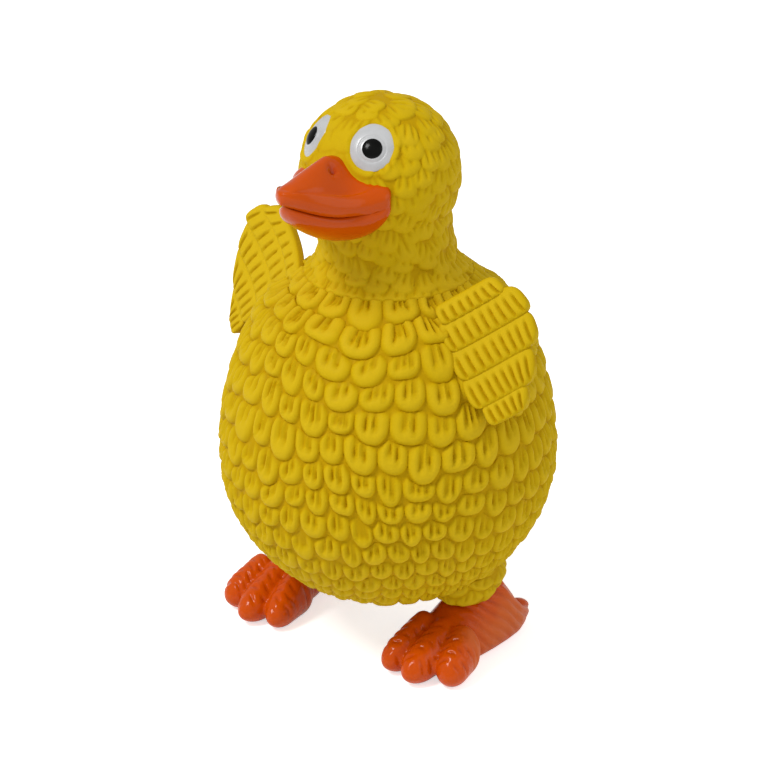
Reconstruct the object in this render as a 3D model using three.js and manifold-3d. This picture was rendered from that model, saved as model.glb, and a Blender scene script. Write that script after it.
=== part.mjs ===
import * as THREE from 'three';
import { mergeVertices } from 'three/addons/utils/BufferGeometryUtils.js';
import Module from 'manifold-3d';

const wasm = await Module();
wasm.setup();

// Latex duck, a squeaking dog toy. Millimetres, +Z up, the duck faces -Y and its left is +X.
// The origin is on the ground under the middle of the belly.

// Belly: an egg of revolution that runs in to the foot of the neck
const bodyBottom = 12;
const bodyRadius = 38;
const bodyLowerDrop = 35.5;
const bodyUpperRise = 52;
const shoulderRise = 37;
const neckSeamRise = 6;
const neckSeamRadius = 18.6;
const bendInwardShare = 0.62;
const bendUpwardShare = 0.48;
const latexWall = 3;
const seamGap = 0.3;

// Feather relief: staggered rows of rounded pads whose free ends point down. The row shares are the
// places of those ends along the meridian.
const featherRise = 1.2;
const featherWidth = 7.8;
const fewestFeathers = 6;
const bodyRowShares = [
  0.105, 0.145, 0.185, 0.226, 0.268, 0.314, 0.362, 0.413,
  0.47, 0.526, 0.576, 0.634, 0.703, 0.768, 0.828, 0.886, 0.945,
];
const bodyPadWidthShares = [
  0.64, 0.66, 0.69, 0.71, 0.73, 0.75, 0.77, 0.79,
  0.83, 0.87, 0.91, 0.97, 1, 1, 1.05, 1.15, 1.13,
];
const padFootShares = [
  { across: 0, up: 0.22, rise: 0 },
  { across: 0.5, up: -0.04, rise: 0.4 },
];
const padLipShares = [
  { across: 0, up: 0.4, rise: 0.1 },
  { across: 0.2, up: 0.12, rise: 1 },
  { across: 0.8, up: 0.12, rise: 1 },
];

// How unevenly the pads were cast: sine waves of turns over the row or the pad, with their steps in
// radians
const padShiftShare = 0.06;
const padShiftStep = 2.3;
const padShiftRowStep = 1.1;
const rowTurnShare = 0.16;
const rowTurnStep = 1.7;
const rowWander = 1.2;
const padWander = 1;
const rowWave = { count: 3, twist: 8, start: 1 };
const rowRipple = { count: 7, twist: -14, start: 0 };
const rowRippleShare = 0.5;
const padWave = { count: 4, twist: 10, start: 2 };
const wanderFadeShares = [0.02, 0.11, 0.92, 1];

// Head and neck
const headRadius = 17.3;
const headRise = 16.8;
const headCentreRise = 24.7;
const headForward = 2.9;
const chinAngle = -32;
const neckRadius = 14.8;
const neckWaistRise = 7;
const neckCurveShare = 0.5;
const headFeatherRise = 0.8;
const headFeatherWidth = 6.2;
const headRowShares = [0.015, 0.08, 0.15, 0.22, 0.295, 0.38, 0.475, 0.57, 0.665, 0.76, 0.85, 0.93];
const headPadWidthShares = [1.3, 1.3, 1.1, 1.1, 1, 1, 1, 1, 1, 1, 1, 1];

// Face: the part of the head round the eyes that carries no feathers
const cheekSwell = 0.4;
const faceLiftAngle = 15;
const faceAngle = 44;
const faceEdgeAngle = 72;

// Eyes: a domed white with a domed pupil let into it
const eyeHalfWidth = 5.6;
const eyeHalfHeight = 6.2;
const eyeHalfDepth = 2.7;
const eyeSink = 1.51;
const eyeTurnAngle = 30;
const eyeLiftAngle = 31;
const eyeFaceTurnAngle = 24;
const eyeFaceLiftAngle = 26;
const eyeFacets = 12;
const pupilRadius = 2.4;
const pupilHalfDepth = 1.1;
const pupilSide = 0.6;
const pupilDrop = 0.5;
const pupilProud = 0.35;
const pupilFacets = 12;

// Bill
const billLength = 25;
const billRootSink = 1.52;
const billHalfWidth = 12.8;
const billPlanPower = 0.62;
const mouthRise = 1.2;
const mouthDip = 3.4;
const mouthReachShare = 1.1;
const mouthPower = 0.9;
const lipHeight = 4.2;
const lipFrontShare = 0.7;
const crestRise = 2.8;
const ridgeRise = 7;
const ridgeStartShare = 0.15;
const ridgeEndShare = 0.95;
const crownRootShare = 0.55;
const crownPower = 1.25;
const lowerBillSetBack = 1.4;
const lowerBillWidthShare = 0.97;
const lowerBillTipDepth = 0.9;
const lowerBillDepth = 13.2;
const lowerBillPower = 1.7;
const smileRadius = 3.8;
const smileHeight = 4.4;
const smilePlaceShare = 0.88;
const smileInset = 3;
const smileFacets = 12;
const billLengthShares = [0.02, 0.08, 0.18, 0.3, 0.44, 0.6, 0.76, 0.9, 1];
const mouthCutShares = [0, 0.3, 0.6, 0.76, 0.9, 1, 1.25];
const billAcrossShares = [-1, -0.9, -0.62, -0.3, 0, 0.3, 0.62, 0.9, 1];
const lipEdgeShares = [0.4, 0.88, 1, 1, 1, 1, 1, 0.88, 0.4];
const billUnderShares = [1, 0.9, 0.6, 0.2, -0.2, -0.6, -0.9, -1];
const mouthFloorShares = [-0.8, 0, 0.8];

// Wings: five ribbed feathers side by side, standing out from the shoulder
const wingLength = 23.5;
const wingThickness = 4;
const wingFeatherWidth = 6.6;
const wingTopEdge = 16;
const wingOverlap = 0.3;
const wingRibDepth = 0.7;
const wingBend = 5.5;
const wingRibCounts = [6, 7, 7, 6, 4];
const wingBendPower = 3;
const wingRootDrop = 4.2;
const wingRootAngle = 28;
const wingSpreadAngle = 18.8;
const wingRiseAngle = 36.4;
const wingTwistAngle = 16;
const leftWingReach = 8.4;
const rightWingReach = 11.6;
const leftWingDrop = 5;
const leftWingSetBack = 2.6;
const rightWingDrop = 2.8;
const rightWingSetBack = 6.5;
const wingWidthShares = [0.55, 0.95, 1, 1.03, 0.67];
const wingStartShares = [0.16, 0.1, 0.06, 0.04, 0.11];
const leftWingEndShares = [0.88, 1.02, 0.99, 0.82, 0.61];
const rightWingEndShares = [0.88, 1.02, 0.94, 0.77, 0.5];
const wingSectionShares = [[-0.7, 1], [0.7, 1], [1, 0.3], [0.75, -1], [-0.75, -1], [-1, 0.3]];
const wingEndTaperShare = 0.6;

// Feet: an instep, three wrinkled toes and a heel spur each
const footInset = 14;
const feetOffCentre = 2.8;
const footSetBack = 3;
const footLength = 29;
const footHalfWidth = 7.6;
const soleFlat = 1.2;
const instepLap = 1.4;
const instepFacets = 12;
const toeLength = 14.4;
const toeRadius = 4.5;
const toeAxisHeight = 4.4;
const toeWrinkleDepth = 0.3;
const toeWrinkleCount = 3;
const toeFacets = 10;
const innerToeSizeShare = 0.9;
const innerToeLengthShare = 0.88;
const innerToeTurnAngle = 8;
const outerToeLengthShare = 0.72;
const outerToeTurnAngle = 14;
const toeSpacing = 5.6;
const toeRootLift = 1;
const toeTipDrop = 0.8;
const toeTipInsetShare = 0.25;
const toeTipSizeShare = 0.7;
const spurLength = 7;
const spurRadius = 3.4;
const spurTurnAngle = 12;
const spurFacets = 8;
const legSeamRise = 2.6;
const legHalfWidth = 7.8;
const legHalfLength = 11;
const legFacets = 16;
const instepLengthShares = [0, 0.14, 0.32, 0.5, 0.68, 0.84, 1];
const instepWidthShares = [0.62, 0.95, 1, 0.96, 0.86, 0.7, 0.4];
const instepHeightShares = [0.5, 0.72, 0.95, 1, 0.95, 0.7, 0.45];
const instepSideShares = [-0.16, -0.1, 0.02, 0.14, 0.26, 0.38, 0.46];
const instepFrontShare = 0.46;
const spurProfileShares = [[0, 1], [0.35, 0.95], [0.7, 0.75], [0.92, 0.4]];

// Squeaker pressed into the hole under the belly
const squeakerRadius = 6;
const squeakerLength = 13;
const squeakerFlangeRadius = 9;
const squeakerFlangeThickness = 1.5;
const squeakerBeadRadius = 7;
const squeakerBeadLength = 1.6;
const squeakerBore = 3.6;
const airHoleRadius = 1.5;
const collarRadius = 11;
const collarHeight = 4.4;
const fitGap = 0.3;
const reedBedRadius = 3.3;
const reedBedLength = 10.5;
const reedGrooveWidth = 1.8;
const reedGrooveDepth = 1.4;
const reedGrooveEnd = 1.8;
const reedThickness = 0.4;
const reedWidth = 4;
const reedClampLength = 2.4;
const reedTaper = 0.5;

// Facet counts and the overrun of every cut
const cavityFacets = 20;
const cavityRings = 9;
const rimFacets = 24;
const cutterFacets = 28;
const cutterRings = 18;
const roundFacets = 18;
const cutOverrun = 2;
const weldDistance = 1e-5;

// Colours
const latexYellow = 0xe3c019;
const billOrange = 0xd2521a;
const eyeWhite = 0xe9e7e2;
const pupilBlack = 0x101010;
const plasticWhite = 0xe8e8e4;
const reedClear = 0xcfd6d8;

const yellow = new THREE.MeshStandardMaterial({ color: latexYellow, roughness: 0.62, metalness: 0 });
const orange = new THREE.MeshStandardMaterial({ color: billOrange, roughness: 0.35, metalness: 0 });
const white = new THREE.MeshStandardMaterial({ color: eyeWhite, roughness: 0.22, metalness: 0 });
const black = new THREE.MeshStandardMaterial({ color: pupilBlack, roughness: 0.15, metalness: 0 });
const plastic = new THREE.MeshStandardMaterial({ color: plasticWhite, roughness: 0.4, metalness: 0 });
const film = new THREE.MeshStandardMaterial({ color: reedClear, roughness: 0.3, metalness: 0 });

const degrees = Math.PI / 180;
const { clamp, lerp, smoothstep } = THREE.MathUtils;

// Places worked out from the sizes above
const bodyWidestHeight = bodyBottom + bodyLowerDrop;
const shoulderHeight = bodyWidestHeight + shoulderRise;
const neckSeamHeight = shoulderHeight + neckSeamRise;
const neckWaistHeight = neckSeamHeight + neckWaistRise;
const headHeight = neckSeamHeight + headCentreRise;
const wingRootHeight = shoulderHeight - wingRootDrop;
const legSeamHeight = bodyBottom + legSeamRise;
const instepHeight = legSeamHeight + instepLap;
const footOut = bodyRadius - footInset;
const mouthHeight = headHeight + mouthRise;
const crestHeight = mouthHeight + crestRise;
const billSurfaceDepth = Math.sqrt(headRadius * headRadius - billHalfWidth * billHalfWidth);
const billRootForward = headForward + billSurfaceDepth - billRootSink;
const squeakerLow = bodyBottom + fitGap / 2;
const flangeTop = squeakerLow + squeakerFlangeThickness;
const barrelTop = squeakerLow + squeakerLength;
const cartridgeLow = flangeTop + fitGap;
const cartridgeHigh = cartridgeLow + reedBedLength;
const collarTop = bodyBottom + latexWall + collarHeight;

// A closed solid from a geometry whose faces already meet edge to edge
function solidOf(geometry) {
  const merged = welded(geometry);
  const vertProperties = new Float32Array(merged.attributes.position.array);
  const triVerts = new Uint32Array(merged.index.array);
  return new wasm.Manifold(new wasm.Mesh({ numProp: 3, vertProperties, triVerts }));
}

// Joins equal corners and drops the faces that fold up at a pole
function welded(geometry) {
  const bare = geometry.clone();
  bare.deleteAttribute('normal');
  bare.deleteAttribute('uv');
  const merged = mergeVertices(bare, weldDistance);
  const index = merged.index.array;
  const kept = [];
  for (let i = 0; i < index.length; i += 3) {
    const [p, q, r] = [index[i], index[i + 1], index[i + 2]];
    if (p !== q && q !== r && p !== r) kept.push(p, q, r);
  }
  merged.setIndex(kept);
  return merged;
}

function geometryOf(solid) {
  const mesh = solid.getMesh();
  const geometry = new THREE.BufferGeometry();
  geometry.setAttribute('position', new THREE.BufferAttribute(new Float32Array(mesh.vertProperties), 3));
  geometry.setIndex(new THREE.BufferAttribute(new Uint32Array(mesh.triVerts), 1));
  geometry.computeVertexNormals();
  return geometry;
}

// Rings of points laid one after the other and closed at both ends. Each ring has its own count and
// keeps the place of each point as a share of a whole turn.
class RingLoft {
  constructor() {
    this.points = [];
    this.triangles = [];
    this.rings = [];
  }

  ring(points, turns = points.map((_, i) => i / points.length)) {
    const first = this.points.length;
    this.points.push(...points);
    this.rings.push({ first, count: points.length, turns });
    if (this.rings.length > 1) this.stitch(this.rings.at(-2), this.rings.at(-1));
  }

  // Walks round both rings from the same angle and always takes the step that lags behind
  stitch(low, high) {
    const skip = Math.max(0, high.turns.findIndex((turn) => turn >= low.turns[0]));
    const middle = (ring, step) => {
      const turnAt = (i) => ring.turns[i % ring.count] + Math.floor(i / ring.count);
      return (turnAt(step) + turnAt(step + 1)) / 2;
    };
    const lowAt = (step) => low.first + (step % low.count);
    const highAt = (step) => high.first + ((step + skip) % high.count);
    let a = 0;
    let b = 0;
    while (a < low.count || b < high.count) {
      if (b === high.count || (a < low.count && middle(low, a) <= middle(high, b + skip))) {
        this.triangles.push(lowAt(a), lowAt(a + 1), highAt(b));
        a += 1;
      } else {
        this.triangles.push(lowAt(a), highAt(b + 1), highAt(b));
        b += 1;
      }
    }
  }

  cap(ring, pole, flip) {
    const centre = this.points.length;
    this.points.push(pole);
    for (let i = 0; i < ring.count; i += 1) {
      const here = ring.first + i;
      const next = ring.first + ((i + 1) % ring.count);
      if (flip) this.triangles.push(centre, next, here);
      else this.triangles.push(centre, here, next);
    }
  }

  solid(startPole, endPole) {
    this.cap(this.rings[0], startPole, true);
    this.cap(this.rings.at(-1), endPole, false);
    const geometry = new THREE.BufferGeometry();
    const flat = this.points.flatMap((p) => [p.x, p.y, p.z]);
    geometry.setAttribute('position', new THREE.Float32BufferAttribute(flat, 3));
    geometry.setIndex(this.triangles);
    return outward(geometry);
  }
}

// Turns the faces of a closed mesh outwards where its rings were laid the other way round
function outward(geometry) {
  const index = Array.from(geometry.index.array);
  const a = new THREE.Vector3();
  const b = new THREE.Vector3();
  const c = new THREE.Vector3();
  let volume = 0;
  for (let i = 0; i < index.length; i += 3) {
    a.fromBufferAttribute(geometry.attributes.position, index[i]);
    b.fromBufferAttribute(geometry.attributes.position, index[i + 1]);
    c.fromBufferAttribute(geometry.attributes.position, index[i + 2]);
    volume += a.dot(b.clone().cross(c));
  }
  if (volume < 0) {
    for (let i = 0; i < index.length; i += 3) {
      [index[i], index[i + 1]] = [index[i + 1], index[i]];
    }
  }
  geometry.setIndex(index);
  return solidOf(geometry);
}

// A LatheGeometry turns about Y, so its solid is stood up along Z
function turned(profile, facets) {
  const points = profile.map(([r, z]) => new THREE.Vector2(r, z));
  const lathe = new THREE.LatheGeometry(points, facets);
  lathe.rotateX(Math.PI / 2);
  return outward(welded(lathe));
}

function cylinder(radius, low, high, facets = roundFacets) {
  return turned([[0, low], [radius, low], [radius, high], [0, high]], facets);
}

function block(width, depth, low, high) {
  const box = new THREE.BoxGeometry(width, depth, high - low);
  box.translate(0, 0, (low + high) / 2);
  return solidOf(box);
}

// A block wide enough to cut right through the duck
function slab(low, high) {
  return block(bodyRadius * 4, bodyRadius * 4, low, high);
}

function ellipsoid(halfX, halfY, halfZ, facets) {
  const ball = new THREE.SphereGeometry(1, facets, facets / 2);
  ball.rotateX(Math.PI / 2);
  ball.scale(halfX, halfY, halfZ);
  return outward(welded(ball));
}

function placed(solid, matrix) {
  return solid.transform(matrix.elements);
}

function mirrored(solid) {
  return solid.mirror([1, 0, 0]);
}

// Meridians of the skin, from the lower end to the upper end, as radius over height
function bodyMeridian(swell) {
  const path = new THREE.Path();
  const radius = bodyRadius + swell;
  const rise = bodyUpperRise + swell;
  const shoulderAngle = Math.asin((shoulderHeight - bodyWidestHeight) / rise);
  const bendRadius = lerp(radius * Math.cos(shoulderAngle), neckSeamRadius + swell, bendInwardShare);
  const bendHeight = lerp(shoulderHeight, neckSeamHeight, bendUpwardShare);
  path.absellipse(0, bodyWidestHeight, radius, bodyLowerDrop + swell, -Math.PI / 2, 0, false, 0);
  path.absellipse(0, bodyWidestHeight, radius, rise, 0, shoulderAngle, false, 0);
  path.quadraticCurveTo(bendRadius, bendHeight, neckSeamRadius + swell, neckSeamHeight);
  return path;
}

function headMeridian(swell) {
  const path = new THREE.Path();
  const radius = headRadius + swell;
  const rise = headRise + swell;
  const waist = neckRadius + swell;
  const chin = chinAngle * degrees;
  const chinRadius = radius * Math.cos(chin);
  const chinHeight = headHeight + rise * Math.sin(chin);
  const low = neckSeamHeight + seamGap;
  path.moveTo(neckSeamRadius + swell, low);
  path.quadraticCurveTo(waist, lerp(low, neckWaistHeight, neckCurveShare), waist, neckWaistHeight);
  path.quadraticCurveTo(waist, lerp(neckWaistHeight, chinHeight, neckCurveShare), chinRadius, chinHeight);
  path.absellipse(0, headHeight, radius, rise, chin, Math.PI / 2, false, 0);
  return path;
}

function bodyLean() {
  return 0;
}

// The neck starts on the body's axis and carries the head forward
function headLean(height) {
  return -headForward * smoothstep(height, neckSeamHeight, headHeight);
}

function onAxis(lean, height) {
  return new THREE.Vector3(0, lean(height), height);
}

// A point of the skin, by share of the meridian and angle round the axis, raised along its normal
function skinPoint(path, lean, share, angle, rise) {
  const at = path.getPointAt(clamp(share, 0, 1));
  const along = path.getTangentAt(clamp(share, 0, 1));
  const radius = at.x + along.y * rise;
  const height = at.y - along.x * rise;
  return new THREE.Vector3(radius * Math.cos(angle), radius * Math.sin(angle) + lean(height), height);
}

// The same, with the rows and the pads wandering a little off their even places
function wanderingPoint(path, lean, share, angle, rise) {
  const [lowEnd, lowFull, highFull, highEnd] = wanderFadeShares;
  const fade = smoothstep(share, lowEnd, lowFull) * (1 - smoothstep(share, highFull, highEnd));
  const wave = ({ count, twist, start }) => fade * Math.sin(count * angle + twist * share + start);
  const moved = share + (rowWander * (wave(rowWave) + rowRippleShare * wave(rowRipple))) / path.getLength();
  const radius = Math.max(path.getPointAt(clamp(moved, 0, 1)).x, featherWidth);
  const aside = (padWander * wave(padWave)) / radius;
  return skinPoint(path, lean, moved, angle + aside, rise);
}

// Skin covered in feathers: every row has a foot ring, tucked under its pads, and the ring of its proud
// lips, and both bend up into the groove between two pads
function featheredSkin(path, lean, rows, riseAt, lowEnd, highEnd) {
  const loft = new RingLoft();
  const rim = (share) => {
    if (path.getPointAt(share).x < seamGap) return;
    const turns = Array.from({ length: rimFacets }, (_, i) => i / rimFacets);
    loft.ring(turns.map((turn) => skinPoint(path, lean, share, turn * 2 * Math.PI, 0)));
  };
  const ringAt = (row, spots) => {
    const here = rows.places[row];
    const next = rows.places[row + 1] ?? 1;
    const around = 2 * Math.PI * path.getPointAt((here + next) / 2).x;
    const pads = Math.max(fewestFeathers, Math.round(around / (rows.width * rows.widths[row])));
    const start = (row / 2 + rowTurnShare * (1 + Math.sin(rowTurnStep * row))) % 1;
    const shiftAt = (pad) => padShiftShare * Math.sin(padShiftStep * (pad % pads) + padShiftRowStep * row);
    const points = [];
    const turns = [];
    for (let pad = 0; pad < pads; pad += 1) {
      for (const { across, up, rise } of spots) {
        const turn = (start + pad + across + lerp(shiftAt(pad), shiftAt(pad + 1), across)) / pads;
        const share = lerp(here, next, up);
        const flat = wanderingPoint(path, lean, share, turn * 2 * Math.PI, 0);
        points.push(wanderingPoint(path, lean, share, turn * 2 * Math.PI, riseAt(flat, rise)));
        turns.push(turn);
      }
    }
    loft.ring(points, turns);
  };
  rim(0);
  rows.places.forEach((_, row) => {
    ringAt(row, padFootShares);
    ringAt(row, padLipShares);
  });
  rim(1);
  return loft.solid(lowEnd, highEnd);
}

// A smooth copy of the skin, grown to stand clear of the feathers, that cuts what sits on it
function smoothSkin(path, lean, swell, lowEnd, highEnd) {
  const loft = new RingLoft();
  const grow = 1 / Math.cos(Math.PI / cutterFacets);
  for (let i = 0; i <= cutterRings; i += 1) {
    if (path.getPointAt(i / cutterRings).x < seamGap) continue;
    const points = [];
    for (let j = 0; j < cutterFacets; j += 1) {
      const p = skinPoint(path, lean, i / cutterRings, (j / cutterFacets) * 2 * Math.PI, swell);
      points.push(new THREE.Vector3(p.x * grow, (p.y - lean(p.z)) * grow + lean(p.z), p.z));
    }
    loft.ring(points);
  }
  return loft.solid(lowEnd, highEnd);
}

function bodyCutter() {
  const swell = featherRise + seamGap * 2;
  const low = onAxis(bodyLean, bodyBottom - swell);
  const high = onAxis(bodyLean, neckSeamHeight + swell);
  return smoothSkin(bodyMeridian(0), bodyLean, swell, low, high);
}

function headCutter(swell) {
  const low = onAxis(headLean, neckSeamHeight + seamGap);
  const high = onAxis(headLean, headHeight + headRise + swell);
  return smoothSkin(headMeridian(0), headLean, swell, low, high);
}

// Points of the inner face of a skin, one wall inside its meridian
function innerProfile(path) {
  const points = [];
  for (let i = 0; i <= cavityRings; i += 1) {
    const p = path.getPointAt(i / cavityRings);
    points.push([p.x > seamGap ? p.x : 0, p.y]);
  }
  return points;
}

// Belly: the egg with its neck rim, its leg stubs and the hole for the squeaker
function bodyCavity() {
  const inner = innerProfile(bodyMeridian(-latexWall));
  const above = neckSeamHeight + cutOverrun;
  inner.push([inner.at(-1)[0], above], [0, above]);
  const collar = cylinder(collarRadius, bodyBottom - cutOverrun, collarTop, cavityFacets);
  return turned(inner, cavityFacets).subtract(collar);
}

function squeakerSeat() {
  const low = bodyBottom - featherRise - cutOverrun;
  const recess = cylinder(squeakerFlangeRadius + fitGap, low, flangeTop + fitGap / 2);
  const hole = cylinder(squeakerRadius + fitGap, low, collarTop + cutOverrun);
  return recess.add(hole);
}

function footMiddle(side) {
  return new THREE.Vector3(side * footOut - feetOffCentre, footSetBack, 0);
}

function legStub(side) {
  const stub = ellipsoid(legHalfWidth, legHalfLength, legHalfWidth, legFacets);
  const foot = footMiddle(side);
  const seam = legSeamHeight + seamGap;
  const at = new THREE.Matrix4().makeTranslation(foot.x, foot.y, seam + legHalfWidth / 2);
  return placed(stub, at).subtract(slab(seam - legHalfWidth, seam));
}

function bodyShell() {
  const low = onAxis(bodyLean, bodyBottom);
  const high = onAxis(bodyLean, neckSeamHeight);
  const riseAt = (flat, share) => featherRise * share;
  const path = bodyMeridian(0);
  const rows = { places: bodyRowShares, widths: bodyPadWidthShares, width: featherWidth };
  const skin = featheredSkin(path, bodyLean, rows, riseAt, low, high);
  return skin.add(legStub(1)).add(legStub(-1)).subtract(bodyCavity()).subtract(squeakerSeat());
}

// How much of the feather relief a point of the head carries: none on the face
function plumage(point) {
  const way = new THREE.Vector3(point.x, point.y + headForward, point.z - headHeight);
  const aside = way.angleTo(facing(0, faceLiftAngle)) / degrees;
  return smoothstep(aside, faceAngle, faceEdgeAngle);
}

// The direction that looks forward, turned outwards and lifted by two angles
function facing(turn, lift) {
  const level = Math.cos(lift * degrees);
  return new THREE.Vector3(
    Math.sin(turn * degrees) * level,
    -Math.cos(turn * degrees) * level,
    Math.sin(lift * degrees));
}

// Head with its neck, open below
function headCavity() {
  const inner = innerProfile(headMeridian(-latexWall));
  const below = neckSeamHeight - cutOverrun;
  inner.unshift([0, below], [inner[0][0], below]);
  return turned(inner, cavityFacets).translate([0, -headForward / 2, 0]);
}

function headShell() {
  const low = onAxis(headLean, neckSeamHeight + seamGap);
  const high = onAxis(headLean, headHeight + headRise);
  const riseAt = (flat, share) => lerp(cheekSwell, headFeatherRise * share, plumage(flat));
  const path = headMeridian(0);
  const rows = { places: headRowShares, widths: headPadWidthShares, width: headFeatherWidth };
  const skin = featheredSkin(path, headLean, rows, riseAt, low, high);
  return skin.subtract(headCavity()).subtract(eyeBall(1, seamGap)).subtract(eyeBall(-1, seamGap));
}

// Eyes
function eyeFrame(side) {
  const front = facing(side * eyeFaceTurnAngle, eyeFaceLiftAngle);
  const across = new THREE.Vector3(0, 0, 1).cross(front).normalize();
  const up = front.clone().cross(across).normalize();
  const centre = new THREE.Vector3(0, -headForward, headHeight);
  const lift = eyeLiftAngle * degrees;
  const surface = 1 / Math.hypot(Math.cos(lift) / headRadius, Math.sin(lift) / headRise);
  centre.addScaledVector(facing(side * eyeTurnAngle, eyeLiftAngle), surface - eyeSink);
  return new THREE.Matrix4().makeBasis(across, up, front).setPosition(centre);
}

function eyeBall(side, swell) {
  const ball = ellipsoid(eyeHalfWidth + swell, eyeHalfHeight + swell, eyeHalfDepth + swell, eyeFacets);
  return placed(ball, eyeFrame(side));
}

function pupilDome(side, swell) {
  const dome = ellipsoid(pupilRadius + swell, pupilRadius + swell, pupilHalfDepth + swell, pupilFacets);
  const proud = eyeHalfDepth + pupilProud - pupilHalfDepth;
  const inEye = new THREE.Matrix4().makeTranslation(-side * pupilSide, -pupilDrop, proud);
  return placed(dome, eyeFrame(side).multiply(inEye));
}

function eyeWhiteSolid(side) {
  return eyeBall(side, 0).subtract(pupilDome(side, seamGap));
}

// Bill: two lofts from the tip back to the face, parted along the dipping mouth line
function billHalfAt(share) {
  return billHalfWidth * Math.pow(share, billPlanPower);
}

function billPlaceAt(share) {
  return -billRootForward - billLength * (1 - share);
}

function mouthAt(share) {
  return mouthHeight - mouthDip * Math.sin(Math.PI * Math.pow(share / mouthReachShare, mouthPower));
}

function upperBill() {
  const loft = new RingLoft();
  for (const share of billLengthShares) {
    const half = billHalfAt(share);
    const y = billPlaceAt(share);
    const mouth = mouthAt(share);
    const lip = lipHeight * Math.min(1, lipFrontShare + share);
    const ridge = crestHeight + ridgeRise * smoothstep(share, ridgeStartShare, ridgeEndShare);
    const crownShare = lerp(1, crownRootShare, share);
    const points = billAcrossShares.map((across, i) => {
      const crown = Math.pow(Math.max(0, 1 - Math.abs(across) / crownShare), crownPower);
      const edge = mouth + lip * lipEdgeShares[i];
      return new THREE.Vector3(across * half, y, edge + crown * (ridge - mouth - lip));
    });
    for (const across of mouthFloorShares.toReversed()) {
      points.push(new THREE.Vector3(across * half, y, mouth + seamGap / 2));
    }
    loft.ring(points);
  }
  const tip = new THREE.Vector3(0, billPlaceAt(0), mouthHeight + lipHeight / 2);
  const root = new THREE.Vector3(0, billPlaceAt(1), mouthHeight);
  const corners = smileCorners().subtract(underMouth(seamGap / 2));
  const bill = loft.solid(tip, root).add(corners).subtract(headCutter(cheekSwell + seamGap * 2));
  return bill.subtract(eyeBall(1, seamGap)).subtract(eyeBall(-1, seamGap));
}

// The space under the mouth line, which parts the two halves of each smile corner
function underMouth(raise) {
  const loft = new RingLoft();
  const half = billHalfWidth * 2;
  const low = mouthHeight - lowerBillDepth * 2;
  for (const share of mouthCutShares) {
    const y = billPlaceAt(share);
    const high = mouthAt(share) + raise;
    const corners = [[half, low], [half, high], [-half, high], [-half, low]];
    loft.ring(corners.map(([x, z]) => new THREE.Vector3(x, y, z)));
  }
  const end = (share) => new THREE.Vector3(0, billPlaceAt(share), mouthHeight - lowerBillDepth);
  return loft.solid(end(mouthCutShares[0]), end(mouthCutShares.at(-1)));
}

// Both swollen ends of the mouth
function smileCorners() {
  const lobe = ellipsoid(smileRadius, smileRadius, smileHeight, smileFacets);
  const out = billHalfWidth - smileInset;
  const at = new THREE.Matrix4();
  at.makeTranslation(out, billPlaceAt(smilePlaceShare), mouthAt(smilePlaceShare));
  const corner = placed(lobe, at);
  return corner.add(mirrored(corner));
}

function lowerBill() {
  const loft = new RingLoft();
  for (const share of billLengthShares) {
    const back = (share * billLength - lowerBillSetBack) / (billLength - lowerBillSetBack);
    if (back <= 0) continue;
    const half = billHalfAt(back) * lowerBillWidthShare;
    const y = billPlaceAt(share);
    const top = mouthAt(share) - seamGap / 2;
    const depth = lowerBillTipDepth + lowerBillDepth * Math.pow(back, lowerBillPower);
    const points = mouthFloorShares.map((across) => new THREE.Vector3(across * half, y, top));
    for (const across of billUnderShares) {
      const round = Math.sqrt(1 - across * across);
      const fall = lerp(lowerBillTipDepth, depth, round);
      points.push(new THREE.Vector3(across * half, y, top - fall));
    }
    loft.ring(points);
  }
  const front = billPlaceAt(lowerBillSetBack / billLength);
  const tip = new THREE.Vector3(0, front, mouthAt(0) - seamGap - lowerBillTipDepth);
  const root = new THREE.Vector3(0, billPlaceAt(1), mouthHeight - lowerBillDepth / 2);
  const corners = smileCorners().intersect(underMouth(-seamGap / 2));
  return loft.solid(tip, root).add(corners).subtract(headCutter(cheekSwell + seamGap * 2));
}

// Wings
function wingFrame(reach, drop, setBack) {
  const out = facing(90 + wingSpreadAngle, wingRiseAngle);
  const fall = facing(90 + wingSpreadAngle, wingRiseAngle - 90);
  const ahead = fall.clone().cross(out);
  const twist = wingTwistAngle * degrees;
  const down = fall.multiplyScalar(Math.cos(twist)).addScaledVector(ahead, Math.sin(twist));
  const front = down.clone().cross(out);
  const rootShare = (wingRootHeight - bodyWidestHeight) / bodyUpperRise;
  const rootRadius = bodyRadius * Math.sqrt(1 - rootShare * rootShare);
  const rootWay = facing(90 - wingRootAngle, 0);
  const origin = rootWay.multiplyScalar(rootRadius).setZ(wingRootHeight);
  origin.addScaledVector(out, reach).addScaledVector(down, drop).addScaledVector(front, -setBack);
  return { out, down, front, origin };
}

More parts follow.
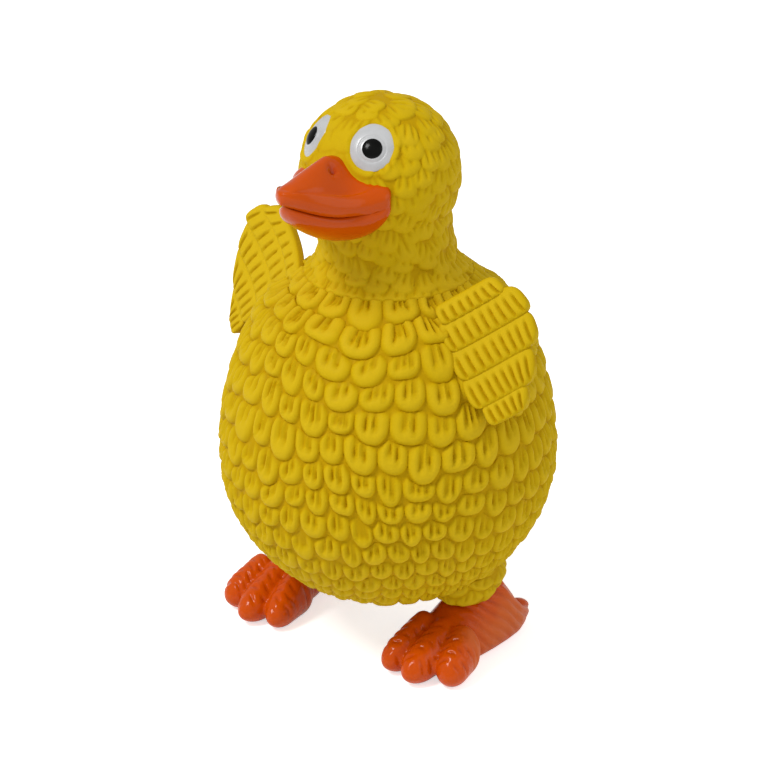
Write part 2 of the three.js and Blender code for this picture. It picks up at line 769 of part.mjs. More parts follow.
// One feather of the wing: crowned across, ribbed along, its inner end bent up onto the shoulder
function wingFeather(frame, order, endShares) {
  const start = (wingStartShares[order] - 0.5) * wingLength;
  const end = (endShares[order] - 0.5) * wingLength;
  const above = wingWidthShares.slice(0, order).reduce((sum, share) => sum + share, 0);
  const width = wingWidthShares[order] * wingFeatherWidth;
  const middle = above * wingFeatherWidth + width / 2 - wingTopEdge;
  const half = width / 2 + wingOverlap;
  const thick = wingThickness / 2;
  const loft = new RingLoft();
  const place = (along, across, through) => {
    const bend = wingBend * Math.pow(Math.max(0, 0.5 - along / wingLength), wingBendPower);
    return frame.origin.clone()
      .addScaledVector(frame.out, along)
      .addScaledVector(frame.down, middle + across)
      .addScaledVector(frame.front, bend - thick + through);
  };
  const ring = (along, size, dip) => {
    loft.ring(wingSectionShares.map(([across, through]) => {
      const depth = through * thick * size - (through > 0 ? dip : 0);
      return place(along, across * half * size, depth);
    }));
  };
  const ribs = wingRibCounts[order] * 2;
  const round = width / 4;
  ring(start, wingEndTaperShare, 0);
  for (let i = 0; i <= ribs; i += 1) {
    const along = lerp(start + round, end - round * 2, i / ribs);
    ring(along, 1, i % 2 === 1 ? wingRibDepth : 0);
  }
  ring(end - round / 2, wingEndTaperShare, 0);
  return loft.solid(place(start - round / 2, 0, 0), place(end, 0, 0));
}

function wing(reach, drop, setBack, endShares) {
  const frame = wingFrame(reach, drop, setBack);
  const feathers = wingWidthShares.map((_, order) => wingFeather(frame, order, endShares));
  const neck = headCutter(headFeatherRise + seamGap * 2);
  return wasm.Manifold.union(feathers).subtract(bodyCutter()).subtract(neck);
}

// Foot, drawn as the left one about its own middle with the toes towards -Y
function toe(root, turn, sizeShare, lengthShare) {
  const way = new THREE.Vector3(Math.sin(turn * degrees), -Math.cos(turn * degrees), 0);
  const radius = toeRadius * sizeShare;
  const loft = new RingLoft();
  const steps = toeWrinkleCount * 2;
  const tip = root.clone().addScaledVector(way, toeLength * lengthShare);
  tip.z -= toeTipDrop + toeRootLift;
  const across = new THREE.Vector3(0, 0, 1).cross(way);
  for (let i = 0; i <= steps; i += 1) {
    const share = i / steps;
    const wrinkle = i % 2 === 0 ? 0 : toeWrinkleDepth;
    const centre = root.clone().lerp(tip, share).addScaledVector(way, -radius * share * toeTipInsetShare);
    const round = i === steps ? toeTipSizeShare : 1;
    const points = [];
    for (let j = 0; j < toeFacets; j += 1) {
      const angle = (j / toeFacets) * 2 * Math.PI;
      const point = centre.clone().addScaledVector(across, (radius - wrinkle) * round * Math.cos(angle));
      point.z += (centre.z + toeTipDrop - wrinkle) * round * Math.sin(angle);
      points.push(point);
    }
    loft.ring(points);
  }
  return loft.solid(root, tip);
}

function instep() {
  const loft = new RingLoft();
  const front = -footLength * instepFrontShare;
  instepLengthShares.forEach((share, i) => {
    const half = footHalfWidth * instepWidthShares[i];
    const top = instepHeight * instepHeightShares[i];
    const middle = footHalfWidth * instepSideShares[i];
    const points = [];
    for (let j = 0; j < instepFacets; j += 1) {
      const angle = (j / instepFacets) * 2 * Math.PI;
      const lift = Math.sin(angle) > 0 ? top - toeAxisHeight : toeAxisHeight + soleFlat;
      const x = middle + half * Math.cos(angle);
      points.push(new THREE.Vector3(x, front + share * footLength, toeAxisHeight + lift * Math.sin(angle)));
    }
    loft.ring(points);
  });
  const pole = (y, sideShare) => new THREE.Vector3(footHalfWidth * sideShare, y, toeAxisHeight);
  const frontPole = pole(front - toeRadius / 2, instepSideShares[0]);
  const backPole = pole(front + footLength + toeRadius / 4, instepSideShares.at(-1));
  return loft.solid(frontPole, backPole);
}

function heelSpur() {
  const loft = new RingLoft();
  const back = footLength * (1 - instepFrontShare) - spurLength;
  const heel = new THREE.Vector3(footHalfWidth / 2, back, toeAxisHeight);
  const way = new THREE.Vector3(Math.sin(spurTurnAngle * degrees), Math.cos(spurTurnAngle * degrees), 0);
  for (const [share, sizeShare] of spurProfileShares) {
    const points = [];
    for (let j = 0; j < spurFacets; j += 1) {
      const angle = (j / spurFacets) * 2 * Math.PI;
      const point = heel.clone().addScaledVector(way, spurLength * share);
      point.x += spurRadius * sizeShare * Math.cos(angle);
      point.z += spurRadius * sizeShare * Math.sin(angle);
      points.push(point);
    }
    loft.ring(points);
  }
  return loft.solid(heel, heel.clone().addScaledVector(way, spurLength));
}

function foot(side) {
  const rootBack = toeRadius / 2 - footLength * instepFrontShare;
  const rootAt = (x) => new THREE.Vector3(x, rootBack, toeAxisHeight + toeRootLift);
  const pieces = [
    instep(),
    heelSpur(),
    toe(rootAt(0), 0, 1, 1),
    toe(rootAt(-toeSpacing), -innerToeTurnAngle, innerToeSizeShare, innerToeLengthShare),
    toe(rootAt(toeSpacing), outerToeTurnAngle, 1, outerToeLengthShare),
  ];
  let solid = wasm.Manifold.union(pieces);
  if (side < 0) solid = mirrored(solid);
  const at = footMiddle(side);
  solid = solid.translate([at.x, at.y, 0]);
  const ground = slab(-toeRadius * 2, 0);
  const legTop = slab(legSeamHeight, legSeamHeight + instepHeight);
  return solid.subtract(ground).subtract(legTop).subtract(bodyCutter());
}

// Squeaker: housing, reed bed, reed and clamp, all along Z over the hole
function squeakerHousing() {
  const beadLow = collarTop + fitGap;
  const profile = [
    [airHoleRadius, squeakerLow],
    [squeakerFlangeRadius, squeakerLow],
    [squeakerFlangeRadius, flangeTop - fitGap],
    [squeakerRadius, flangeTop],
    [squeakerRadius, beadLow],
    [squeakerBeadRadius, beadLow],
    [squeakerRadius, beadLow + squeakerBeadLength],
    [squeakerRadius, barrelTop],
    [squeakerBore, barrelTop],
    [squeakerBore, flangeTop],
    [airHoleRadius, flangeTop],
    [airHoleRadius, squeakerLow],
  ];
  return turned(profile, roundFacets);
}

// The half of the cartridge behind the reed, with its air groove
function reedBed() {
  const rod = cylinder(reedBedRadius, cartridgeLow, cartridgeHigh);
  const low = cartridgeLow - cutOverrun;
  const away = block(squeakerBore * 2, squeakerBore * 2, low, cartridgeHigh + cutOverrun)
    .translate([0, squeakerBore, 0]);
  const groove = block(reedGrooveWidth, reedGrooveDepth * 2, low, cartridgeHigh - reedGrooveEnd);
  return rod.subtract(away).subtract(groove).subtract(taperCut());
}

// The bed falls away from the reed past the clamp, so that the free end can beat
function taperCut() {
  const low = cartridgeLow + reedClampLength;
  const shape = new THREE.Shape([
    new THREE.Vector2(0, low),
    new THREE.Vector2(cutOverrun, low),
    new THREE.Vector2(cutOverrun, cartridgeHigh + cutOverrun),
    new THREE.Vector2(-reedTaper, cartridgeHigh + cutOverrun),
    new THREE.Vector2(-reedTaper, cartridgeHigh),
  ]);
  const cut = new THREE.ExtrudeGeometry(shape, { depth: squeakerBore * 2, bevelEnabled: false });
  cut.translate(0, 0, -squeakerBore);
  const alongY = new THREE.Vector3(0, 1, 0);
  const alongZ = new THREE.Vector3(0, 0, 1);
  cut.applyMatrix4(new THREE.Matrix4().makeBasis(alongY, alongZ, new THREE.Vector3(1, 0, 0)));
  return outward(welded(cut));
}

function reed() {
  return block(reedWidth, reedThickness, cartridgeLow, cartridgeHigh)
    .translate([0, fitGap + reedThickness / 2, 0]);
}

function reedClamp() {
  const high = cartridgeLow + reedClampLength;
  const rod = cylinder(reedBedRadius, cartridgeLow, high);
  const clear = fitGap * 2 + reedThickness;
  const away = block(squeakerBore * 2, squeakerBore * 2, cartridgeLow - cutOverrun, high + cutOverrun)
    .translate([0, clear - squeakerBore, 0]);
  return rod.subtract(away);
}

function piece(name, solid, material) {
  const mesh = new THREE.Mesh(geometryOf(solid), material);
  mesh.name = name;
  return mesh;
}

const duck = new THREE.Group();

const trunk = new THREE.Group();
trunk.add(piece('body_shell', bodyShell(), yellow));
const leftWing = wing(leftWingReach, leftWingDrop, leftWingSetBack, leftWingEndShares);
const rightWing = mirrored(wing(rightWingReach, rightWingDrop, rightWingSetBack, rightWingEndShares));
trunk.add(piece('left_wing', leftWing, yellow));
trunk.add(piece('right_wing', rightWing, yellow));
trunk.add(piece('left_foot', foot(1), orange));
trunk.add(piece('right_foot', foot(-1), orange));
duck.add(trunk);

const head = new THREE.Group();
head.add(piece('head_shell', headShell(), yellow));
head.add(piece('upper_bill', upperBill(), orange));
head.add(piece('lower_bill', lowerBill(), orange));
head.add(piece('left_eye_white', eyeWhiteSolid(1), white));
head.add(piece('right_eye_white', eyeWhiteSolid(-1), white));
head.add(piece('left_pupil', pupilDome(1, 0), black));
head.add(piece('right_pupil', pupilDome(-1, 0), black));
duck.add(head);

const squeaker = new THREE.Group();
squeaker.add(piece('squeaker_housing', squeakerHousing(), plastic));
squeaker.add(piece('reed_bed', reedBed(), plastic));
squeaker.add(piece('reed', reed(), film));
squeaker.add(piece('reed_clamp', reedClamp(), plastic));
duck.add(squeaker);

export default duck;
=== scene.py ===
"""Looks of a hollow latex duck, a squeaking dog toy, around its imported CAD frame.

Sizes are in millimetres in the classes and in metres in the meshes. The duck stands on Z 0, faces -Y
and has its left on +X.
"""

import logging
import math
from dataclasses import dataclass
from enum import Enum
from typing import Callable, Sequence, Union

import bpy
import numpy as np
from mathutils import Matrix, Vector

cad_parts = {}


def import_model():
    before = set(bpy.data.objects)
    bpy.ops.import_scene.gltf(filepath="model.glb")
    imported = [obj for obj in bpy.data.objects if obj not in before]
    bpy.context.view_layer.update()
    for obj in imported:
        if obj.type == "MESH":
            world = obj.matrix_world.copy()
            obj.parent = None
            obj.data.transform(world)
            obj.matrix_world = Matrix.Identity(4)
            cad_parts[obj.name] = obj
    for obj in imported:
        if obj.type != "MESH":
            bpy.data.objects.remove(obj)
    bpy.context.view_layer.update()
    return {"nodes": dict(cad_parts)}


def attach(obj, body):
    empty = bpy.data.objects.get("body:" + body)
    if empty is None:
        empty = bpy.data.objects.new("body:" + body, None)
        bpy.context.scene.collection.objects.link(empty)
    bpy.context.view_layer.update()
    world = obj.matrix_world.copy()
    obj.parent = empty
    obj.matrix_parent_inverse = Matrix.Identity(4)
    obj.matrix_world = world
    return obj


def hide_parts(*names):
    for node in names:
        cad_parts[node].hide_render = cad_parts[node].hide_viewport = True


LOG = logging.getLogger("latex_duck")
MM = 0.001

Link = Union["Socket", float, Sequence[float]]
Piece = bpy.types.Object
Rise = Callable[[float, np.ndarray, np.ndarray], np.ndarray]
Lean = Callable[[np.ndarray], np.ndarray]


class Body(Enum):
    """The CAD body that every modelled piece rides on. The reed's own body carries only its CAD node."""

    DUCK = "duck"


class Slot(Enum):
    """The material slots of the record."""

    LATEX = "yellow_latex"
    ORANGE = "orange_paint"
    WHITE = "white_paint"
    BLACK = "black_paint"
    PLASTIC = "squeaker_plastic"
    FILM = "reed_film"


class Side(Enum):
    """The duck's own sides, as the sign of X."""

    LEFT = 1
    RIGHT = -1

    @property
    def word(self) -> str:
        """The side's name, as the pieces use it."""
        return self.name.lower()


def smooth(x: np.ndarray, low: float, high: float) -> np.ndarray:
    """Rises from 0 at low to 1 at high without corners."""
    t = np.clip((x - low) / (high - low), 0.0, 1.0)
    return t * t * (3 - 2 * t)


def mix(a: np.ndarray, b: np.ndarray, share: np.ndarray) -> np.ndarray:
    """The value that lies this share of the way from a to b."""
    return a + (b - a) * share


def upright(height: np.ndarray) -> np.ndarray:
    """The lean of an axis that stands straight up."""
    return height * 0


def bell(x: np.ndarray, middle: float, width: float) -> np.ndarray:
    """1 in the middle and nearly nothing two widths away."""
    return np.exp(-(((x - middle) / width) ** 2))


def cap(x: float) -> float:
    """The height of a half circle of radius 1 this far from its middle, and 0 beyond its end."""
    return math.sqrt(max(0.0, 1 - x * x))


def facing(turn: float, lift: float) -> np.ndarray:
    """The direction that looks forward, turned outwards and lifted by two angles in degrees."""
    t, k = math.radians(turn), math.radians(lift)
    return np.array([math.sin(t) * math.cos(k), -math.cos(t) * math.cos(k), math.sin(k)])


# Colours as the photographed paints show in even light


@dataclass(frozen=True)
class Tone:
    """A colour written in display values, from 0 to 255."""

    red: float
    green: float
    blue: float

    def linear(self) -> tuple[float, float, float, float]:
        """The colour as a shader socket takes it.

        Returns:
            The colour with an alpha of 1.
        """

        def channel(value: float) -> float:
            """One channel, from display value to linear light."""
            c = value / 255
            return c / 12.92 if c <= 0.04045 else ((c + 0.055) / 1.055) ** 2.4

        return (channel(self.red), channel(self.green), channel(self.blue), 1.0)


# Shader maths


class Socket:
    """A node socket that can be used in Python expressions."""

    def __init__(self, bench: "ShaderBench", source: bpy.types.NodeSocket) -> None:
        """Keeps the socket and the bench that wires it."""
        self.bench = bench
        self.source = source

    def _maths(self, operation: str, other: Link) -> "Socket":
        """One Math node on this socket and another value."""
        return self.bench.node("ShaderNodeMath", {"operation": operation}, {0: self, 1: other})

    def __add__(self, other: Link) -> "Socket":
        """Sum."""
        return self._maths("ADD", other)

    def __mul__(self, other: Link) -> "Socket":
        """Product."""
        return self._maths("MULTIPLY", other)


class ShaderBench:
    """Builds one node material around a Principled shader."""

    def __init__(self, name: str) -> None:
        """Makes an empty material.

        Args:
            name: what the finish is called.
        """
        self.material = bpy.data.materials.new(name)
        self.material.use_nodes = True
        self.tree = self.material.node_tree
        self.tree.nodes.clear()
        self.shader = self.tree.nodes.new("ShaderNodeBsdfPrincipled")
        output = self.tree.nodes.new("ShaderNodeOutputMaterial")
        self.tree.links.new(self.shader.outputs["BSDF"], output.inputs["Surface"])

    def _feed(self, target: bpy.types.NodeSocket, value: Link) -> None:
        """Links a socket to another, or gives it a value.

        Args:
            target: the socket to set.
            value: a number, a colour or another socket.
        """
        if isinstance(value, Socket):
            self.tree.links.new(value.source, target)
        else:
            target.default_value = value

    def node(self, kind: str, settings: dict, values: dict, output: Union[int, str] = 0) -> Socket:
        """Adds one node.

        Args:
            kind: the node's type.
            settings: what is set on the node before its sockets.
            values: values or links, by socket name or place.
            output: which output is handed on.

        Returns:
            The chosen output.
        """
        made = self.tree.nodes.new(kind)
        for key, value in settings.items():
            setattr(made, key, value)
        for key, value in values.items():
            self._feed(made.inputs[key], value)
        return Socket(self, made.outputs[output])

    def attribute(self, name: str) -> Socket:
        """A number that the mesh carries at each corner."""
        return self.node("ShaderNodeAttribute", {"attribute_name": name}, {}, "Fac")

    def noise(self, scale: float, detail: float = 3.0) -> Socket:
        """Even noise from 0 to 1 over the object, with its size in waves per metre.

        Args:
            scale: waves per metre.
            detail: how many finer layers it has.

        Returns:
            The noise.
        """
        place = self.node("ShaderNodeTexCoord", {}, {}, "Object")
        values = {"Vector": place, "Scale": scale, "Detail": detail, "Roughness": 0.5, "W": 0.0}
        return self.node("ShaderNodeTexNoise", {"noise_dimensions": "4D"}, values, "Fac")

    def span(
        self, value: Link, low: float, high: float, out_low: float = 0.0, out_high: float = 1.0
    ) -> Socket:
        """Maps a range of values onto another, with smooth ends."""
        values = {"Value": value, "From Min": low, "From Max": high, "To Min": out_low, "To Max": out_high}
        return self.node("ShaderNodeMapRange", {"interpolation_type": "SMOOTHSTEP"}, values, "Result")

    def blend(self, share: Link, first: Link, second: Link) -> Socket:
        """A colour between two others."""
        settings = {"data_type": "RGBA", "clamp_factor": True}
        return self.node("ShaderNodeMix", settings, {0: share, 6: first, 7: second}, 2)

    def finish(self, **values: Link) -> bpy.types.Material:
        """Sets the shader's sockets.

        Args:
            values: socket names with underscores for spaces, and their values or links.

        Returns:
            The material.
        """
        for key, value in values.items():
            self._feed(self.shader.inputs[key.replace("_", " ")], value)
        return self.material

    def bump(self, height: Link, distance: float) -> Socket:
        """A normal from a height that is 1 at this distance in metres."""
        return self.node("ShaderNodeBump", {}, {"Height": height, "Distance": distance, "Strength": 1.0})


@dataclass(frozen=True)
class LatexFinish:
    """Cast latex with its painted ground colour, and painted shade that darkens it in the relief's hollows.
    """

    name: str = "yellow_latex_skin"
    # ground and groove darken the crest's yellow as painted shade on the flats and in the grooves
    crest: Tone = Tone(205, 172, 20)
    ground: Tone = Tone(198, 165, 4)
    groove: Tone = Tone(186, 148, 0)
    mottle_scale: float = 70.0
    grain_scale: float = 1500.0
    grain_height: float = 0.00004
    roughness_low: float = 0.58
    roughness_high: float = 0.72
    sheen: float = 0.06

    def material(self) -> bpy.types.Material:
        """Builds the finish.

        Returns:
            The material, which reads the relief attribute.
        """
        bench = ShaderBench(self.name)
        relief = bench.attribute("relief")
        mottle = bench.noise(self.mottle_scale)
        grain = bench.noise(self.grain_scale, 2.0)
        # Painted shade: where the relief mark is low the colour turns towards the groove tone; the mottle
        # adds random tone.
        ground = bench.blend(bench.span(relief, 0.0, 0.55), self.groove.linear(), self.ground.linear())
        colour = bench.blend(bench.span(relief + mottle * 0.4, 0.5, 1.25), ground, self.crest.linear())
        rough = bench.span(mottle, 0.3, 0.7, self.roughness_low, self.roughness_high)
        normal = bench.bump(grain, self.grain_height)
        return bench.finish(Base_Color=colour, Roughness=rough, Normal=normal, Specular_IOR_Level=self.sheen)


@dataclass(frozen=True)
class PaintFinish:
    """Latex paint on the bill and feet: brush-thin patches, painted shade in creases, a gloss that wears to
    matt.
    """

    name: str
    bright: Tone
    patch_tone_and_crease_shade: Tone
    worn: Tone
    roughness_low: float = 0.12
    roughness_high: float = 0.42
    sheen: float = 0.17
    patch_scale: float = 90.0
    grain_scale: float = 900.0
    grain_height: float = 0.00005

    def material(self) -> bpy.types.Material:
        """Builds the finish.

        Returns:
            The material, which reads the relief and worn attributes.
        """
        bench = ShaderBench(self.name)
        relief = bench.attribute("relief")
        worn = bench.attribute("worn")
        patches = bench.noise(self.patch_scale, 4.0)
        grain = bench.noise(self.grain_scale, 2.0)
        # Painted shade: a low relief mark in creases and nostrils, together with random thin patches, turns
        # the paint towards its darker tone.
        share = bench.span(relief + patches * 0.3, 0.35, 1.15)
        paint = bench.blend(share, self.patch_tone_and_crease_shade.linear(), self.bright.linear())
        colour = bench.blend(worn * bench.span(patches, 0.25, 0.6), paint, self.worn.linear())
        rough = bench.span(patches * 0.5 + worn, 0.1, 1.1, self.roughness_low, self.roughness_high)
        normal = bench.bump(grain, self.grain_height)
        return bench.finish(Base_Color=colour, Roughness=rough, Normal=normal, Specular_IOR_Level=self.sheen)


@dataclass(frozen=True)
class GlossFinish:
    """A small painted or moulded surface with an even gloss and faint dirt."""

    name: str
    clean: Tone
    dull: Tone
    roughness: float = 0.2
    dirt_scale: float = 260.0
    grain_height: float = 0.00002
    sheen: float = 0.5

    def material(self) -> bpy.types.Material:
        """Builds the finish.

        Returns:
            The material.
        """
        bench = ShaderBench(self.name)
        dirt = bench.noise(self.dirt_scale, 4.0)
        colour = bench.blend(bench.span(dirt, 0.35, 0.75), self.clean.linear(), self.dull.linear())
        rough = bench.span(dirt, 0.3, 0.8, self.roughness, self.roughness + 0.12)
        normal = bench.bump(bench.noise(self.dirt_scale * 4, 2.0), self.grain_height)
        return bench.finish(Base_Color=colour, Roughness=rough, Normal=normal, Specular_IOR_Level=self.sheen)


LATEX = LatexFinish()
BILL_PAINT = PaintFinish("orange_bill_paint", Tone(204, 82, 4), Tone(178, 58, 0), Tone(200, 96, 20))
FOOT_PAINT = PaintFinish("orange_foot_paint", Tone(204, 78, 4), Tone(164, 50, 0), Tone(204, 98, 36))
EYE_PAINT = GlossFinish("white_eye_paint", Tone(190, 191, 192), Tone(174, 175, 176))
PUPIL_PAINT = GlossFinish("black_pupil_paint", Tone(5, 5, 5), Tone(12, 12, 11), 0.1, sheen=0.12)
PLASTIC = GlossFinish("squeaker_plastic", Tone(226, 226, 220), Tone(206, 206, 198), 0.4)
FILM = GlossFinish("reed_film", Tone(206, 212, 214), Tone(190, 196, 198), 0.25)


# Meshes


class Bench:
    """Blender's modelling operators, on one piece at a time."""

    @staticmethod
    def clear() -> None:
        """Leaves edit mode and deselects everything."""
        if bpy.context.object and bpy.context.object.mode != "OBJECT":
            bpy.ops.object.mode_set(mode="OBJECT")
        bpy.ops.object.select_all(action="DESELECT")

    @staticmethod
    def take(piece: Piece) -> Piece:
        """Makes one piece the only selected one.

        Args:
            piece: the object to work on.

        Returns:
            The same object.
        """
        Bench.clear()
        piece.select_set(True)
        bpy.context.view_layer.objects.active = piece
        return piece

    @staticmethod
    def points(piece: Piece) -> np.ndarray:
        """The piece's corners in millimetres.

        Args:
            piece: the piece.

        Returns:
            One row of x, y and z for each corner.
        """
        flat = np.zeros(len(piece.data.vertices) * 3)
        piece.data.vertices.foreach_get("co", flat)
        return flat.reshape(-1, 3) / MM

    @staticmethod
    def press(piece: Piece, points: np.ndarray) -> None:
        """Moves the piece's corners to points in millimetres."""
        piece.data.vertices.foreach_set("co", (points * MM).ravel())
        piece.data.update()

    @staticmethod
    def mark(piece: Piece, name: str, values: np.ndarray) -> None:
        """Gives each corner a number that the finish reads."""
        layer = piece.data.attributes.get(name) or piece.data.attributes.new(name, "FLOAT", "POINT")
        layer.data.foreach_set("value", np.asarray(values, np.float32))

    @staticmethod
    def link(name: str, data: bpy.types.ID) -> Piece:
        """Puts an object with this data in the scene.

        Args:
            name: its name.
            data: its mesh, camera or lamp.

        Returns:
            The object.
        """
        made = bpy.data.objects.new(name, data)
        bpy.context.scene.collection.objects.link(made)
        return made

    @staticmethod
    def normals(piece: Piece) -> np.ndarray:
        """The outward direction at each corner.

        Args:
            piece: the piece.

        Returns:
            One unit vector for each corner.
        """
        flat = np.zeros(len(piece.data.vertices) * 3)
        piece.data.vertices.foreach_get("normal", flat)
        return flat.reshape(-1, 3)

    @staticmethod
    def made(name: str, points: np.ndarray, faces: Sequence[Sequence[int]], relief: np.ndarray) -> Piece:
        """A piece from points in millimetres and faces.

        Args:
            name: the piece's name.
            points: its corners.
            faces: corner numbers of each face.
            relief: how proud each corner stands, from which the finish paints shade.

        Returns:
            The piece, with its normals outwards.
        """
        mesh = bpy.data.meshes.new(name)
        mesh.from_pydata((points * MM).tolist(), [], [tuple(f) for f in faces])
        piece = Bench.link(name, mesh)
        Bench.mark(piece, "relief", relief)
        Bench.outward(piece)
        return piece

    @staticmethod
    def outward(piece: Piece, merge: float = 0.00001) -> None:
        """Merges doubles and turns every face outwards.

        Args:
            piece: the piece.
            merge: the largest distance between doubles, in metres.
        """
        Bench.take(piece)
        bpy.ops.object.mode_set(mode="EDIT")
        bpy.ops.mesh.select_all(action="SELECT")
        bpy.ops.mesh.remove_doubles(threshold=merge)
        bpy.ops.mesh.normals_make_consistent(inside=False)
        bpy.ops.object.mode_set(mode="OBJECT")

    @staticmethod
    def ball(name: str, segments: int, rings: int) -> Piece:
        """A ball of 1 mm radius at the origin, as a start.

        Args:
            name: the piece's name.
            segments: faces around.
            rings: faces from pole to pole.

        Returns:
            The bare ball.
        """
        Bench.clear()
        bpy.ops.mesh.primitive_uv_sphere_add(segments=segments, ring_count=rings, radius=MM)
        piece = bpy.context.object
        piece.name = piece.data.name = name
        return piece

    @staticmethod
    def apply(piece: Piece, kind: str, **settings: object) -> None:
        """Adds one modifier with its settings and applies it.

        Args:
            piece: the piece.
            kind: the modifier's type.
            settings: its settings by name.
        """
        Bench.take(piece)
        modifier = piece.modifiers.new(kind.lower(), kind)
        for key, value in settings.items():
            setattr(modifier, key, value)
        bpy.ops.object.modifier_apply(modifier=modifier.name)

    @staticmethod
    def join(name: str, pieces: Sequence[Piece]) -> Piece:
        """Joins pieces into one.

        Args:
            name: the name of the whole.
            pieces: what is joined.

        Returns:
            The joined piece.
        """
        Bench.clear()
        for piece in pieces:
            piece.select_set(True)
        bpy.context.view_layer.objects.active = pieces[0]
        bpy.ops.object.join()
        joined = bpy.context.object
        joined.name = joined.data.name = name
        return joined

    @staticmethod
    def dress(
        piece: Piece, material: bpy.types.Material, slot: Slot, nodes: Sequence[str], angle: float = 60
    ) -> Piece:
        """Gives a finished piece its surface, its body and the CAD nodes that it stands for.

        Args:
            piece: the piece.
            material: its finish.
            slot: the record's slot for that finish; not used.
            nodes: the CAD nodes that it replaces.
            angle: the steepest edge that is still shaded smooth, in degrees.

        Returns:
            The piece.
        """
        Bench.take(piece)
        bpy.ops.object.shade_smooth_by_angle(angle=math.radians(angle))
        piece.data.materials.clear()
        piece.data.materials.append(material)
        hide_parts(*nodes)
        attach(piece, Body.DUCK.value)
        LOG.info("%s: %d faces", piece.name, len(piece.data.polygons))
        return piece


class RingLoft:
    """Rings of points laid one after the other and closed at both ends."""

    def __init__(self) -> None:
        """Starts with no ring."""
        self.points: list[np.ndarray] = []
        self.values: list[np.ndarray] = []
        self.faces: list[tuple[int, ...]] = []
        self.total = 0
        self.last: Union[tuple[int, np.ndarray], None] = None

    def ring(self, points: np.ndarray, turns: np.ndarray, values: np.ndarray) -> None:
        """Adds one ring and stitches it to the one before.

        Args:
            points: the ring's points.
            turns: each point's place round the ring as a rising share of a turn, from 0 or more.
            values: the relief at each point.
        """
        first = self.total
        self.points.append(points)
        self.values.append(values)
        self.total += len(points)
        if self.last is not None:
            self._stitch(self.last[0], self.last[1], first, turns)
        self.last = (first, turns)

    def _stitch(self, low: int, low_turns: np.ndarray, high: int, high_turns: np.ndarray) -> None:
        """Joins two rings, square by square where their points face each other.

        Args:
            low: the number of the first corner of the ring before.
            low_turns: where its corners are, as shares of a turn.
            high: the number of the first corner of the new ring.
            high_turns: where its corners are.
        """
        n, m = len(low_turns), len(high_turns)
        if n == m and np.abs(low_turns - high_turns).max() < 0.5 / n:
            for i in range(n):
                j = (i + 1) % n
                self.faces.append((low + i, low + j, high + j, high + i))
            return
        skip = int(np.searchsorted(high_turns, low_turns[0]))

        def low_turn(step: int) -> float:
            """The place of the lower ring's point, past one turn where it has gone round."""
            return low_turns[step % n] + step // n

        def high_turn(step: int) -> float:
            """The same for the upper ring, counted from the first point past the lower ring's start."""
            return high_turns[(step + skip) % m] + (step + skip) // m

        a = b = 0
        while a < n or b < m:
            here = (low + a % n, high + (b + skip) % m)
            if b == m or (a < n and low_turn(a) + low_turn(a + 1) <= high_turn(b) + high_turn(b + 1)):
                self.faces.append((here[0], low + (a + 1) % n, here[1]))
                a += 1
            else:
                self.faces.append((here[0], high + (b + 1 + skip) % m, here[1]))
                b += 1

    def closed(self, name: str) -> Piece:
        """Closes both ends with a fan and makes the piece.

        Args:
            name: the piece's name.

        Returns:
            The piece, with its relief marked.
        """
        first, last = self.points[0], self.points[-1]
        start = self.total - len(last)
        for points, begin, flip in ((first, 0, True), (last, start, False)):
            pole = self.total
            self.points.append(points.mean(axis=0)[None])
            self.values.append(np.zeros(1))
            self.total += 1
            for i in range(len(points)):
                j = (i + 1) % len(points)
                pair = (begin + j, begin + i) if flip else (begin + i, begin + j)
                self.faces.append((*pair, pole))
        return Bench.made(name, np.concatenate(self.points), self.faces, np.concatenate(self.values))


class Meridian:
    """The outline of a skin from its lower to its upper end, as radius over height."""

    def __init__(self, runs: Sequence[np.ndarray]) -> None:
        """Joins runs of points.

        Args:
            runs: arrays of (radius, height), each starting where the one before ends.
        """
        self.path = np.concatenate([runs[0], *[run[1:] for run in runs[1:]]])
        steps = np.linalg.norm(np.diff(self.path, axis=0), axis=1)
        self.along = np.concatenate([[0.0], np.cumsum(steps)])
        self.length = float(self.along[-1])

    @staticmethod
    def arc(height: float, radius: float, rise: float, start: float, end: float) -> np.ndarray:
        """A run of an ellipse, by its middle height, half axes and two angles in degrees."""
        t = np.radians(np.linspace(start, end, 160))
        return np.stack([radius * np.cos(t), height + rise * np.sin(t)], 1)

    @staticmethod
    def bend(a: Sequence[float], b: Sequence[float], c: Sequence[float]) -> np.ndarray:
        """A run that leaves a towards b and arrives at c."""
        t = np.linspace(0, 1, 60)[:, None]
        return (1 - t) ** 2 * np.array(a) + 2 * t * (1 - t) * np.array(b) + t * t * np.array(c)

    def at(self, s: np.ndarray) -> tuple[np.ndarray, np.ndarray, np.ndarray, np.ndarray]:
        """Radius, height and the outward normal's two parts at lengths along the outline.

        Args:
            s: lengths from the lower end.

        Returns:
            Radii, heights and the two parts of the outward normals.
        """
        s = np.clip(s, 0, self.length)
        r = np.interp(s, self.along, self.path[:, 0])
        z = np.interp(s, self.along, self.path[:, 1])
        near, far = np.clip(s - 0.5, 0, self.length), np.clip(s + 0.5, 0, self.length)
        dr = np.interp(far, self.along, self.path[:, 0]) - np.interp(near, self.along, self.path[:, 0])
        dz = np.interp(far, self.along, self.path[:, 1]) - np.interp(near, self.along, self.path[:, 1])
        size = np.maximum(np.hypot(dr, dz), 1e-9)
        return r, z, dz / size, -dr / size


